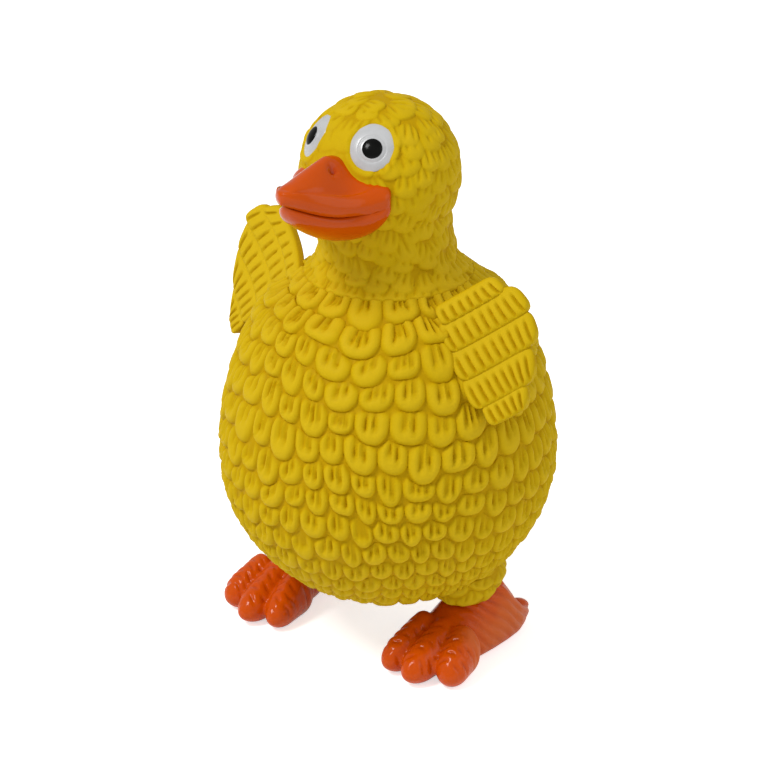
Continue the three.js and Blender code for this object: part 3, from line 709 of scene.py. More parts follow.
@dataclass
class Plume:
    """One kind of feather pad, by its relief and its slots. Its free end points down the outline."""

    rise: float
    slots: tuple[int, ...] = (2, 2, 2, 2, 2, 2, 3)
    slot_reach: float = 0.66
    slot_half_width: float = 0.5
    slot_depth: float = 1.0
    slot_fan: float = 0.3
    slot_wander: float = 0.2
    slot_spread: float = 0.95
    slot_uneven: tuple[float, float] = (0.08, 0.06)
    slot_fade: tuple[float, float] = (0.05, 0.2)
    slot_taper: tuple[float, float] = (0.55, 0.6)
    top_share: float = 0.9
    edge: float = 1.9
    dome_power: float = 0.7
    lip_radius: float = 3.0
    top_radius: float = 2.5
    scallop: float = 0.17
    valley: float = -0.12
    tuck: float = 1.0

    LINES = (0.0, 0.04, 0.09, 0.16, 0.26, 0.37, 0.49, 0.6, 0.71, 0.8, 0.88, 0.95, 1.0)
    RIM = (0.0, 0.03, 0.09)

    def columns(self, slots: int, width: float) -> list[float]:
        """Where the mesh lines of one pad run, as shares of its width.

        Args:
            slots: how many slots the pad has.
            width: the pad's width.

        Returns:
            Rising shares from the groove on the left.
        """
        near, rim = self.RIM[1:]
        half = self.slot_half_width / width * 1.25
        middles = self.slot_places(slots)
        spots = [*self.RIM]
        for i, middle in enumerate(middles):
            low = middles[i - 1] + half if i else rim
            spots += [(low + middle - half) / 2, middle - half, middle, middle + half]
        return [*spots, (middles[-1] + half + 1 - rim) / 2, 1 - rim, 1 - near]

    def slot_places(self, slots: int) -> list[float]:
        """The middles of the slots, as shares of the pad's width."""
        return [0.5 + (i - (slots - 1) / 2) * self.slot_spread / (slots + 1) for i in range(slots)]

    def height(
        self, u: np.ndarray, w: np.ndarray, size: tuple[float, float], slots: int, wild: np.ndarray
    ) -> np.ndarray:
        """How far the pad stands up, as a share of its rise.

        Args:
            u: place across, as a share of the width.
            w: place from the free end up, as a share of the length.
            size: the pad's width and length.
            slots: how many slots it has.
            wild: five random numbers of this pad, from -1 to 1.

        Returns:
            The height as a share.
        """
        size, w = (size[0], size[1] * self.tuck), w / self.tuck
        x, y = (u - 0.5) * size[0], (w - 0.5) * size[1]
        half_x, half_y = size[0] / 2 - self.valley, size[1] / 2 - self.valley
        radius = np.where(y < 0, min(self.lip_radius, half_x, half_y), self.top_radius)
        qx, qy = np.abs(x) - half_x + radius, np.abs(y) - half_y + radius
        outside = np.hypot(np.maximum(qx, 0), np.maximum(qy, 0))
        inside = radius - outside - np.minimum(np.maximum(qx, qy), 0)
        edge = min(self.edge, half_x * 0.75, half_y * 0.9)
        t = 1 - np.clip(inside / edge, 0, 1)
        share = (1 - t * t) ** self.dome_power * mix(1.0, self.top_share, smooth(w, 0.3, 1.0))
        for i, spot in enumerate(self.slot_places(slots)):
            lean = (spot - 0.5) * self.slot_fan
            middle = (spot - 0.5) * size[0] + wild[0] * self.slot_wander - lean * (y + half_y)
            of_pad, of_slot = self.slot_uneven
            end = 1 - self.slot_reach - of_pad * wild[1] - of_slot * math.cos(i * 2.4 + 3 * wild[2])
            ramp = smooth(w, end - self.slot_fade[0], end + self.slot_fade[1])
            cut = bell(x, middle, self.slot_half_width * (self.slot_taper[0] + self.slot_taper[1] * ramp))
            share = share * (1 - self.slot_depth * cut * ramp)
        return share


@dataclass(frozen=True)
class Rows:
    """The rows of pads on a skin: where each begins along the outline and how wide its pads are."""

    places: tuple[float, ...]
    widths: tuple[float, ...]
    row_wander: float = 1.2
    pad_wander: float = 1.0
    least_radius: float = 7.8

    @staticmethod
    def wave(share: np.ndarray, angle: np.ndarray, count: int, twist: float, start: float) -> np.ndarray:
        """One sine wave of unevenness, faded out at both ends of the skin."""
        fade = smooth(share, 0.02, 0.11) * (1 - smooth(share, 0.92, 1.0))
        return fade * np.sin(count * angle + twist * share + start)


@dataclass
class Row:
    """One row of pads: how many, where each begins and how far its free ends hang scalloped."""

    number: int
    count: int
    low: float
    length: float
    scallop: float
    stagger: float = 0.07
    hang: float = 0.13
    shift: float = 0.16
    tip_power: float = 2.6

    @property
    def start(self) -> float:
        """Where the first pad begins, as a share of a pad."""
        return (self.number / 2 + self.shift * (1 + math.sin(1.7 * self.number))) % 1

    def edges(self) -> np.ndarray:
        """Where each pad begins, counted in pads from the row's start, one more than there are."""
        pads = np.arange(self.count + 1)
        return pads + self.stagger * np.sin(2.3 * (pads % self.count) + 1.1 * self.number)

    def border(self, turns: np.ndarray) -> np.ndarray:
        """The line of the free ends along the outline, at shares of a turn.

        Args:
            turns: places round the skin.

        Returns:
            Lengths along the outline.
        """
        edges = self.edges()
        place = (turns * self.count - self.start - edges[0]) % self.count + edges[0]
        pad = np.clip(np.searchsorted(edges, place, side="right") - 1, 0, self.count - 1)
        across = (place - edges[pad]) / (edges[pad + 1] - edges[pad])
        corner = np.abs(2 * across - 1) ** self.tip_power
        if not self.scallop:
            return np.full_like(corner, self.low)
        hang = self.hang * np.sin(2.7 * pad + 1.3 * self.number) * (1 - corner)
        return self.low + self.length * (self.scallop * corner + hang)


class FeatheredSkin:
    """A skin of rows of feather pads round an upright axis."""

    UNEVEN = 0.12
    SWAY = 0.05
    SKEW = 0.14

    def __init__(self, outline: Meridian, lean: Lean, rows: Rows, seed: int) -> None:
        """Starts an empty skin.

        Args:
            outline: the skin's outline.
            lean: how far the axis has gone towards +Y at a height.
            rows: where the rows lie.
            seed: the seed of the pads' small differences.
        """
        self.outline = outline
        self.lean = lean
        self.rows = rows
        self.draw = np.random.default_rng(seed)
        self.loft = RingLoft()

    def point(self, s: np.ndarray, angle: np.ndarray, rise: np.ndarray) -> np.ndarray:
        """Points of the skin at lengths along the outline and angles, raised along the normal.

        Args:
            s: lengths along the outline.
            angle: angles round the axis, in radians.
            rise: heights over the outline.

        Returns:
            The points.
        """
        share = s / self.outline.length
        wave = self.rows.wave
        rows = wave(share, angle, 3, 8.0, 1.0) + 0.5 * wave(share, angle, 7, -14.0, 0.0)
        s = s + self.rows.row_wander * rows
        r, z, nr, nz = self.outline.at(s)
        aside = self.rows.pad_wander * wave(share, angle, 4, 10.0, 2.0)
        angle = angle + aside / np.maximum(r, self.rows.least_radius)
        r, z = r + nr * rise, z + nz * rise
        return np.stack([r * np.cos(angle), r * np.sin(angle) + self.lean(z), z], -1)

    def free(self, radius: float, height: float, count: int) -> None:
        """Lays one ring off the outline, for a rim or a pocket.

        Args:
            radius: the ring's radius.
            height: its height.
            count: how many corners it has.
        """
        turns = np.arange(count) / count
        a = turns * 2 * math.pi
        y = radius * np.sin(a) + float(self.lean(np.array(height)))
        points = np.stack([radius * np.cos(a), y, np.full(count, height)], -1)
        # A relief mark of 0.3 darkens this ring a little, as painted shade in the rim or pocket.
        self.loft.ring(points, turns, np.full(count, 0.3))

    def bare(self, rings: int, around: int) -> None:
        """Lays even rings over the whole outline, without pads.

        Args:
            rings: how many rings.
            around: corners in each.
        """
        turns = np.arange(around) / around
        for s in np.linspace(0, self.outline.length * 0.998, rings):
            points = self.point(np.full(around, s), turns * 2 * math.pi, np.zeros(around))
            self.loft.ring(points, turns, np.full(around, 0.6))

    def plan(self, plumes: Sequence[Plume]) -> list[Row]:
        """Works out every row.

        Args:
            plumes: the kind of pad in each row.

        Returns:
            The rows, and the skin's upper end as one more without scallops.
        """
        length = self.outline.length
        places = [place * length for place in self.rows.places] + [length]
        found = []
        for number, plume in enumerate(plumes):
            low, high = places[number], places[number + 1]
            middle = self.outline.at(np.array([(low + high) / 2]))[0][0]
            count = max(6, round(2 * math.pi * middle / self.rows.widths[number]))
            found.append(Row(number, count, low, high - low, plume.scallop))
        found.append(Row(len(plumes), 6, length, 0.0, 0.0))
        return found

    def clothe(self, plumes: Sequence[Plume]) -> None:
        """Lays all rows of pads.

        Args:
            plumes: the kind of pad in each row.
        """
        rows = self.plan(plumes)
        for row, above, plume in zip(rows, rows[1:], plumes):
            middle = self.outline.at(np.array([row.low + row.length / 2]))[0][0]
            edges = row.edges()
            pads = []
            for i in range(row.count):
                width = 2 * math.pi * middle / row.count * (edges[i + 1] - edges[i])
                slots = int(self.draw.choice(plume.slots))
                us = np.array(plume.columns(slots, width))
                turns = (row.start + edges[i] + us * (edges[i + 1] - edges[i])) / row.count
                pads.append((us, turns, width, slots, self.draw.uniform(-1, 1, 5)))
            turns = np.concatenate([pad[1] for pad in pads])
            low, high = row.border(turns), above.border(turns)
            sway = np.concatenate([
                (self.SWAY * wild[3] + self.SKEW * wild[2] * (us - 0.5)) * (1 - np.abs(2 * us - 1) ** 3)
                for us, _, _, _, wild in pads
            ])
            for w in plume.LINES:
                shares = []
                for us, _, width, slots, wild in pads:
                    share = plume.height(us, np.full_like(us, w), (width, row.length), slots, wild)
                    shares.append(share * (1 + self.UNEVEN * wild[4]))
                share = np.concatenate(shares)
                s = low + (w + sway * w * (1 - w) * 4) * (high - low)
                # The pad's height share is also its relief mark, so the latex finish paints shade into the
                # slots and the gaps between pads.
                self.loft.ring(self.point(s, turns * 2 * math.pi, plume.rise * share), turns, share)


@dataclass
class Trunk:
    """The belly: an egg of revolution under rows of feather pads, with the squeaker's hole."""

    radius: float = 38.0
    widest: float = 47.5
    rise: float = 52.0
    drop: float = 35.5
    shoulder: float = 84.5
    seam: float = 90.5
    seam_radius: float = 18.6
    bend_inward: float = 0.62
    bend_upward: float = 0.48
    hole_radius: float = 6.3
    recess_radius: float = 9.3
    recess_top: float = 13.8
    hole_top: float = 24.0
    relief: float = 1.25
    seed: int = 11
    places: tuple[float, ...] = (
        0.105, 0.145, 0.185, 0.226, 0.268, 0.314, 0.362, 0.413,
        0.47, 0.526, 0.576, 0.634, 0.703, 0.768, 0.828, 0.886, 0.945,
    )
    widths: tuple[float, ...] = (
        0.64, 0.66, 0.69, 0.71, 0.73, 0.75, 0.77, 0.79,
        0.83, 0.87, 0.91, 0.97, 1, 1, 1.05, 1.15, 1.13,
    )
    pad_width: float = 6.9
    small_below: float = 0.4
    small_relief: float = 0.9
    chest: float = 0.88
    collar: float = 0.94
    chest_tuck: float = 1.15
    collar_tuck: float = 1.5

    def outline(self) -> Meridian:
        """The egg's outline from under the belly to the foot of the neck.

        Returns:
            The outline, from below to the neck.
        """
        angle = math.degrees(math.asin((self.shoulder - self.widest) / self.rise))
        edge = self.radius * math.cos(math.radians(angle))
        bend = (
            mix(edge, self.seam_radius, self.bend_inward),
            mix(self.shoulder, self.seam, self.bend_upward),
        )
        return Meridian([
            Meridian.arc(self.widest, self.radius, self.drop, -90, 0),
            Meridian.arc(self.widest, self.radius, self.rise, 0, angle),
            Meridian.bend((edge, self.shoulder), bend, (self.seam_radius, self.seam)),
        ])

    def plume(self, place: float) -> Plume:
        """The kind of pad at a share of the outline: small below, fans of strands on the chest.

        Args:
            place: the share of the outline.

        Returns:
            The kind of pad.
        """
        if place > self.chest:
            tuck = self.collar_tuck if place > self.collar else self.chest_tuck
            slots = (3, 2, 3, 2)
            return Plume(self.relief, slots, slot_reach=0.72, slot_half_width=0.44, slot_fan=0.6, tuck=tuck)
        if place < self.small_below:
            return Plume(self.relief * self.small_relief, (2, 2, 2, 1), slot_half_width=0.4)
        return Plume(self.relief)

    def build(self) -> Piece:
        """Models the skin of the belly.

        Returns:
            The dressed piece.
        """
        outline = self.outline()
        rows = Rows(self.places, tuple(width * self.pad_width for width in self.widths))
        skin = FeatheredSkin(outline, upright, rows, self.seed)
        skin.free(self.hole_radius, self.hole_top, 48)
        skin.free(self.hole_radius, self.recess_top, 48)
        skin.free(self.recess_radius, self.recess_top, 48)
        lip = float(outline.at(np.array([self.recess_radius + 0.4]))[1][0])
        skin.free(self.recess_radius, lip + 0.2, 60)
        skin.free(self.recess_radius + 0.4, lip - 0.2, 60)
        skin.clothe([self.plume(place) for place in self.places])
        skin.free(self.seam_radius - 1.0, self.seam, 64)
        piece = skin.loft.closed("body_skin")
        return Bench.dress(piece, LATEX.material(), Slot.LATEX, ["body_shell"], 70)


@dataclass
class Eye:
    """A white lens with a domed pupil in a ring groove, both laid on the curve of the head."""

    side: Side
    turn: float = 30.0
    lift: float = 31.0
    half_width: float = 5.0
    half_height: float = 5.7
    tilt: float = 8.0
    rim_rise: float = 0.16
    dome_rise: float = 0.5
    depth: float = 1.2
    pupil_radius: float = 2.2
    pupil_rise: float = 0.55
    pupil_out: float = 0.2
    pupil_drop: float = 0.6
    pupil_sink: float = 0.12
    ring_radius: float = 2.9
    ring_width: float = 0.22
    ring_depth: float = 0.16

    def axes(self) -> tuple[np.ndarray, np.ndarray, np.ndarray]:
        """The directions towards the eye, across it to the duck's left and up it.

        Returns:
            Three unit vectors.
        """
        way = facing(self.side.value * self.turn, self.lift)
        across = np.cross([0.0, 0.0, 1.0], way)
        across /= np.linalg.norm(across)
        up = np.cross(way, across)
        t = math.radians(self.tilt) * self.side.value
        return way, across * math.cos(t) - up * math.sin(t), up * math.cos(t) + across * math.sin(t)

    def lens(
        self, name: str, head: "Head", middle: tuple[float, float], half: tuple[float, float], rise: Rise
    ) -> Piece:
        """Models one lens that lies on the head.

        Args:
            name: the piece's name.
            head: the head that carries the eye.
            middle: where the lens has its middle, across and up.
            half: half its width and half its height.
            rise: how far it stands out, from the share of its radius and the place across and up.

        Returns:
            The lens as a closed piece.
        """
        way, across, up = self.axes()
        turns = np.arange(96) / 96
        angle = turns * 2 * math.pi
        loft = RingLoft()
        sheet = [(share, rise) for share in np.sin(np.linspace(0.01, math.pi / 2, 48))]
        under = [(share, lambda r, x, y: np.full_like(x, -self.depth)) for share in (1.0, 0.5, 0.01)]
        for share, height in [*sheet, *under]:
            x = middle[0] + half[0] * share * np.cos(angle)
            y = middle[1] + half[1] * share * np.sin(angle)
            line = way * head.radius + np.outer(x, across) + np.outer(y, up)
            loft.ring(head.dome(line, height(share, x, y)), turns, np.full(96, 0.5))
        return loft.closed(name)

    def build(self, head: "Head") -> list[Piece]:
        """Models the white and the pupil.

        Args:
            head: the head that carries the eye.

        Returns:
            Both dressed pieces.
        """
        spot = (self.side.value * self.pupil_out, -self.pupil_drop)

        def white_rise(share: float, x: np.ndarray, y: np.ndarray) -> np.ndarray:
            """The white's dome with its rounded rim and the ring groove.

            Args:
                share: the share of the lens's radius.
                x: places across.
                y: places up.

            Returns:
                The heights.
            """
            away = np.hypot(x - spot[0], y - spot[1])
            ring = bell(away, self.ring_radius, self.ring_width) * self.ring_depth
            rim = self.rim_rise * math.sqrt(max(0.0, 1 - share ** 24))
            return rim + self.dome_rise * (1 - share * share) - ring

        def pupil_rise(share: float, x: np.ndarray, y: np.ndarray) -> np.ndarray:
            """The pupil's dome on the white's.

            Args:
                share: the share of the lens's radius.
                x: places across.
                y: places up.

            Returns:
                The heights.
            """
            out = (x / self.half_width) ** 2 + (y / self.half_height) ** 2
            base = self.rim_rise + self.dome_rise * (1 - out) - self.pupil_sink
            return base + self.pupil_rise * cap(share)

        size = (self.half_width, self.half_height)
        white = self.lens(f"{self.side.word}_eye_dome", head, (0.0, 0.0), size, white_rise)
        Bench.dress(white, EYE_PAINT.material(), Slot.WHITE, [f"{self.side.word}_eye_white"], 80)
        size = (self.pupil_radius, self.pupil_radius)
        pupil = self.lens(f"{self.side.word}_pupil_dome", head, spot, size, pupil_rise)
        Bench.dress(pupil, PUPIL_PAINT.material(), Slot.BLACK, [f"{self.side.word}_pupil"], 80)
        return [white, pupil]


@dataclass(frozen=True)
class Lobe:
    """One kind of soft feather lobe, by its size, relief and number of slots."""

    width: float
    length: float
    rise: float
    slots: int
    uneven: float = 0.16
    corner: float = 2.4
    edge_power: float = 0.34
    root_share: float = 0.68
    slot_half_width: float = 0.36
    slot_depth: float = 0.72
    slot_spacing: float = 0.72

    def height(self, p: np.ndarray, q: np.ndarray, wild: np.ndarray) -> np.ndarray:
        """The lobe's height over some points.

        Args:
            p: places across the lobe.
            q: places along it, towards its free end.
            wild: seven random numbers of this lobe, from -1 to 1.

        Returns:
            The height at each point.
        """
        half_p = self.width / 2 * (1.06 + self.uneven * wild[3])
        along = q / (self.length / 2 * (1.02 + self.uneven * wild[4]))
        across = p / (half_p * (1 + self.uneven * along))
        outline = np.abs(across) ** self.corner + np.abs(along) ** self.corner
        shape = np.maximum(0, 1 - outline) ** self.edge_power * mix(self.root_share, 1.0, along)
        for k in range(self.slots):
            place = (k - (self.slots - 1) / 2 + 0.3 * wild[5]) * self.slot_spacing
            cut = bell(p, place * half_p * (1 + 0.3 * along), self.slot_half_width)
            open_part = 1 - smooth(along, -0.1, 0.5 + 0.2 * wild[6])
            shape = shape * (1 - self.slot_depth * cut * open_part)
        return self.rise * (1 + 0.2 * wild[6]) * shape


@dataclass
class Head:
    """The head and neck: faint relief round the eyes and bill, uneven overlapping lobes behind."""

    radius: float = 17.3
    rise: float = 16.8
    height: float = 115.2
    forward: float = 2.9
    chin_angle: float = -32.0
    neck_radius: float = 14.8
    waist: float = 97.5
    seam: float = 90.5
    seam_radius: float = 18.6
    foot_height: float = 90.2
    foot_radius: float = 18.5
    crown: Lobe = Lobe(5.0, 5.6, 0.8, 2)
    nape: Lobe = Lobe(4.3, 6.2, 0.8, 2)
    collar: Lobe = Lobe(5.2, 5.2, 1.05, 3)
    nape_share: float = 0.4
    collar_share: float = 0.17
    lap: float = 0.7
    lobe_pitch: float = 0.94
    lobe_stagger: float = 0.22
    lobe_wander: float = 0.26
    lobe_turn: float = 0.42
    crown_turn: float = 1.6
    crown_from: tuple[float, float] = (0.82, 0.95)
    first_row: float = 0.6
    bald_crown: float = 1.5
    least_place: float = 0.8
    seed: int = 5
    cheek: float = 0.1
    face_lift: float = 12.0
    face_angle: float = 18.0
    face_edge: float = 42.0
    face_relief: float = 0.3
    neck_relief: tuple[float, float] = (101.0, 107.0)
    lid_place: float = 1.16
    lid_width: float = 0.14
    lid_rise: float = 0.34
    lid_sink: float = 0.35
    eyes: tuple[Eye, ...] = (Eye(Side.LEFT, 29.0, 35.0), Eye(Side.RIGHT, 39.5, 32.5, 4.2))

    def lean(self, height: np.ndarray) -> np.ndarray:
        """How far the neck has carried the axis towards +Y at a height."""
        return -self.forward * smooth(np.asarray(height, float), self.seam, self.height)

    def outline(self) -> Meridian:
        """The outline from inside the neck seam to the crown.

        Returns:
            The outline, from below to the crown.
        """
        angle = math.radians(self.chin_angle)
        chin_height = self.height + self.rise * math.sin(angle)
        chin = (self.radius * math.cos(angle), chin_height)
        waist = (self.neck_radius, self.waist)
        low = (self.seam_radius, self.seam + 0.3)
        return Meridian([
            Meridian.bend(low, (self.neck_radius, (low[1] + self.waist) / 2), waist),
            Meridian.bend(waist, (self.neck_radius, (self.waist + chin_height) / 2), chin),
            Meridian.arc(self.height, self.radius, self.rise, self.chin_angle, 90),
        ])

    def calm(self, points: np.ndarray) -> np.ndarray:
        """How much feather relief each point carries: little round the eyes and the bill.

        Args:
            points: points of the skin.

        Returns:
            Shares from 0.3 to 1.
        """
        way = points - np.array([0.0, -self.forward, self.height])
        way = way / np.linalg.norm(way, axis=1, keepdims=True)
        aside = np.degrees(np.arccos(np.clip(way @ facing(0, self.face_lift), -1, 1)))
        much = smooth(aside, self.face_angle, self.face_edge)
        below = 1 - smooth(points[:, 2], *self.neck_relief)
        return np.maximum(mix(self.face_relief, 1.0, much), below)

    def lobe_at(self, share: float) -> Lobe:
        """The kind of lobe at a share of the outline.

        Args:
            share: the share of the outline.

        Returns:
            The kind of lobe.
        """
        if share < self.collar_share:
            return self.collar
        return self.nape if share < self.nape_share else self.crown

    def feathers(self, points: np.ndarray, skin: FeatheredSkin) -> np.ndarray:
        """The height of the lobes over each point.

        Args:
            points: the bare skin's corners.
            skin: the skin that they lie on.

        Returns:
            The height of the highest lobe at each corner.
        """
        draw = np.random.default_rng(self.seed)
        height = np.zeros(len(points))
        s, length, row = self.first_row, skin.outline.length, 0
        while s < length - self.bald_crown:
            lobe = self.lobe_at(s / length)
            radius = float(skin.outline.at(np.array([s]))[0][0])
            count = max(5, round(2 * math.pi * radius / (lobe.width * self.lobe_pitch)))
            freedom = self.lobe_turn + self.crown_turn * smooth(s / length, *self.crown_from)
            for i in range(count):
                wild = draw.uniform(-1, 1, 7)
                angle = 2 * math.pi * (i + row * 0.5 + self.lobe_stagger * wild[0]) / count
                place = max(self.least_place, s + self.lobe_wander * lobe.length * wild[1])
                spot, below = skin.point(np.array([place, place - 0.6]), np.full(2, angle), np.zeros(2))
                down = (below - spot) / np.linalg.norm(below - spot)
                aside = np.cross(down, spot - np.array([0, -self.forward, spot[2]]))
                aside /= np.linalg.norm(aside)
                c, k = math.cos(freedom * wild[2]), math.sin(freedom * wild[2])
                away = points - spot
                near = np.flatnonzero((away * away).sum(1) < lobe.length ** 2)
                p, q = away[near] @ (aside * c - down * k), away[near] @ (down * c + aside * k)
                height[near] = np.maximum(height[near], lobe.height(p, q, wild))
            s += lobe.length * self.lap
            row += 1
        return height

    def build(self) -> Piece:
        """Models the skin of the head and neck.

        Returns:
            The dressed piece.
        """
        skin = FeatheredSkin(self.outline(), self.lean, Rows((), (), 0.0, 0.0), self.seed)
        skin.free(self.foot_radius, self.foot_height, 96)
        skin.bare(190, 400)
        piece = skin.loft.closed("head_skin")
        points = Bench.points(piece)
        much = self.calm(points) * smooth(points[:, 2], self.seam, self.seam + 0.5)
        rise = mix(self.cheek, self.feathers(points, skin), much)
        Bench.press(piece, points + Bench.normals(piece) * rise[:, None])
        # Painted shade: the lobes' height is the relief mark, so the latex finish darkens between lobes; the
        # calm face keeps an even 0.6.
        Bench.mark(piece, "relief", np.where(much > 0.05, mix(0.6, rise / self.crown.rise, much), 0.6))
        self.lids(piece)
        return Bench.dress(piece, LATEX.material(), Slot.LATEX, ["head_shell"], 70)

    def dome(self, lines: np.ndarray, rise: np.ndarray) -> np.ndarray:
        """Points on the face where lines from the head's middle leave it, raised outwards.

        Args:
            lines: directions and lengths from the middle.
            rise: how far each point is raised.

        Returns:
            The points.
        """
        size = np.array([self.radius + self.cheek, self.radius + self.cheek, self.rise + self.cheek])
        foot = lines / np.linalg.norm(lines / size, axis=1, keepdims=True)
        normal = foot / size ** 2
        normal /= np.linalg.norm(normal, axis=1, keepdims=True)
        return foot + normal * np.asarray(rise)[:, None] + np.array([0.0, -self.forward, self.height])

    def lids(self, piece: Piece) -> None:
        """Raises the smooth rim round each eye and sinks the skin under its white.

        Args:
            piece: the head's skin.
        """
        points = Bench.points(piece)
        away = points - np.array([0.0, -self.forward, self.height])
        size = np.linalg.norm(away, axis=1, keepdims=True)
        away = away / size
        for eye in self.eyes:
            way, across, up = eye.axes()
            reach = self.radius / np.maximum(away @ way, 0.1)
            x, y = (away @ across) * reach / eye.half_width, (away @ up) * reach / eye.half_height
            ring = np.where(away @ way > 0.3, np.hypot(x, y), 9.0)
            rim = self.lid_rise * bell(ring, self.lid_place, self.lid_width)
            points = points + away * (rim - self.lid_sink * (1 - smooth(ring, 0.9, 1.02)))[:, None]
        Bench.press(piece, points)


@dataclass
class Bill:
    """The bill: a ridge over rolled lips that part along a smile and meet in swollen corners.

    Each ring lies in one plane across the bill. A share of the length counts from the tip.
    """

    root_forward: float = 13.02
    length: float = 25.0
    half_width: float = 12.8
    plan_power: float = 0.57
    mouth: float = 117.0
    mouth_dip: float = 4.9
    mouth_reach: float = 1.15
    lip: float = 4.4
    lip_at_tip: float = 0.8
    lip_square: float = 4.5
    lip_bead: tuple[float, float, float] = (0.87, 0.08, 0.7)
    lip_dent: tuple[float, float, float] = (0.68, 0.1, 0.5)
    shut_from: float = 0.5
    shut_to: float = 0.74
    belly: float = 0.42
    tip_round: float = 0.14
    ridge: float = 119.4
    ridge_rise: float = 4.2
    ridge_drop: float = 1.6
    ridge_full: float = 0.62
    ridge_bow: float = 0.85
    ridge_width: float = 4.2
    ridge_power: float = 1.8
    tip_width: float = 0.62
    tip_power: float = 2.2
    corner_place: float = 0.82
    corner_reach: float = 0.14
    corner_swell: float = 1.3
    corner_lift: float = 2.0
    corner_from: float = 0.8
    corner_length: float = 0.26
    corner_square: float = 2.3
    groove: float = 1.1
    groove_left: float = 0.1
    pinch: tuple[float, float, float] = (0.74, 0.03, 0.3)
    lower_start: float = 0.05
    lower_power: float = 1.35
    lower_depth: float = 9.0
    lower_edge: float = 3.0
    lower_width: float = 0.97
    lower_square: float = 3.4
    nostril: tuple[float, float] = (2.3, -23.3)
    nostril_size: tuple[float, float] = (0.55, 1.1)
    nostril_depth: float = 1.6
    nostril_floor: float = 119.0
    rings: int = 110

    def corner(self, share: float) -> float:
        """How much of the corner's swelling a place along the bill has."""
        return bell(share, self.corner_place, self.corner_reach)

    def mouth_at(self, share: float) -> float:
        """The height of the mouth line."""
        return self.mouth - self.mouth_dip * math.sin(math.pi * share / self.mouth_reach)

    @staticmethod
    def rounded(share: float, reach: float) -> float:
        """Rises from 0 to 1 over a reach, as the end of a ball does."""
        return cap(1 - min(share / reach, 1.0))

    def shut(self, share: float) -> float:
        """How far the lips have grown together, from 0 to 1."""
        return float(smooth(np.array(share), self.shut_from, self.shut_to))

    def closing(self, share: float) -> float:
        """How much of the lobe's size is left behind the corner of the mouth."""
        return cap(max(0.0, share - self.corner_from) / self.corner_length)

    def upper(self, share: float) -> tuple[np.ndarray, np.ndarray, float, float]:
        """The upper half of a ring, from the ridge to the widest place of the lip.

        Args:
            share: the place along the bill.

        Returns:
            Distances from the middle, heights, half the width and the widest place's height.
        """
        swell = self.corner(share)
        half = self.half_width * share ** self.plan_power + self.corner_swell * swell
        half, mouth = half * self.closing(share), self.mouth_at(share)
        tip = self.rounded(share, self.tip_round)
        a = np.sin(np.linspace(0, math.pi / 2, 26))
        lip = self.lip * min(1.0, self.lip_at_tip + share)
        shelf = (lip + self.corner_lift * swell) * self.closing(share)
        ridge = self.ridge + self.ridge_rise * min(1.0, share / self.ridge_full) ** self.ridge_bow
        ridge -= self.ridge_drop * smooth(share, 0.7, 0.95)
        width = mix(self.tip_width * half, self.ridge_width, smooth(share, 0.1, 0.65))
        crest = np.exp(-((a * half / width) ** mix(self.tip_power, self.ridge_power, share)))
        (bead, bead_width, bead_rise), (dent, dent_width, dent_depth) = self.lip_bead, self.lip_dent
        roll = bead_rise * bell(a, bead, bead_width) - dent_depth * bell(a, dent, dent_width)
        roll = roll * (1 - 0.75 * swell) * smooth(share, 0.02, 0.15)
        edge = np.sqrt(np.maximum(0, 1 - a ** mix(self.lip_square, self.corner_square, swell)))
        side = mouth + self.lip * self.belly
        top = side + (shelf * (1 - self.belly) + roll) * edge * tip
        top = top + crest * max(0.0, ridge - mouth - shelf) * tip
        return a * half, top, half, side

    def lower(self, share: float) -> tuple[np.ndarray, np.ndarray, float, float]:
        """The lower half of a ring, from the widest place of the lip to the middle.

        Args:
            share: the place along the bill.

        Returns:
            Distances from the middle, heights, half the width and the widest place's height.
        """
        back = max(0.0, (share - self.lower_start) / (1 - self.lower_start))
        swell = self.corner(share)
        half = self.half_width * back ** self.plan_power * self.lower_width + self.corner_swell * swell
        half = mix(half * self.closing(share), self.upper(share)[2], self.shut(share))
        mouth, tip = self.mouth_at(share), self.rounded(back, self.tip_round) * self.closing(share)
        a = np.sin(np.linspace(math.pi / 2, 0, 26))
        lip = self.lower_edge * tip
        depth = self.lower_depth * back ** self.lower_power
        side = mouth - lip * self.belly
        edge = np.sqrt(np.maximum(0, 1 - a ** self.lower_square))
        bowl = np.maximum(0, 1 - a ** 1.6) ** 0.8
        return a * half, side - lip * (1 - self.belly) * edge - depth * bowl, half, side

    def ring(self, share: float) -> tuple[np.ndarray, np.ndarray]:
        """One half of a ring, from the ridge round the lips to the middle below.

        Args:
            share: the place along the bill.

        Returns:
            Distances from the middle and heights.
        """
        over_x, over_z, over_half, over_side = self.upper(share)
        under_x, under_z, under_half, under_side = self.lower(share)
        place, reach, pinch = self.pinch
        depth = self.groove * (1 - self.shut(share)) + self.groove_left + pinch * bell(share, place, reach)
        inner = max(0.0, min(over_half, under_half) - min(depth, under_half * 0.6))
        turn = np.linspace(0, math.pi / 2, 9)[1:]
        xs, zs = [over_x], [over_z]
        for half, side, bend in ((over_half, over_side, turn), (under_half, under_side, turn[-2::-1])):
            xs.append(half - (half - inner) * (1 - np.cos(bend)))
            zs.append(side - (side - self.mouth_at(share)) * np.sin(bend))
        return np.concatenate([*xs, under_x]), np.concatenate([*zs, under_z])

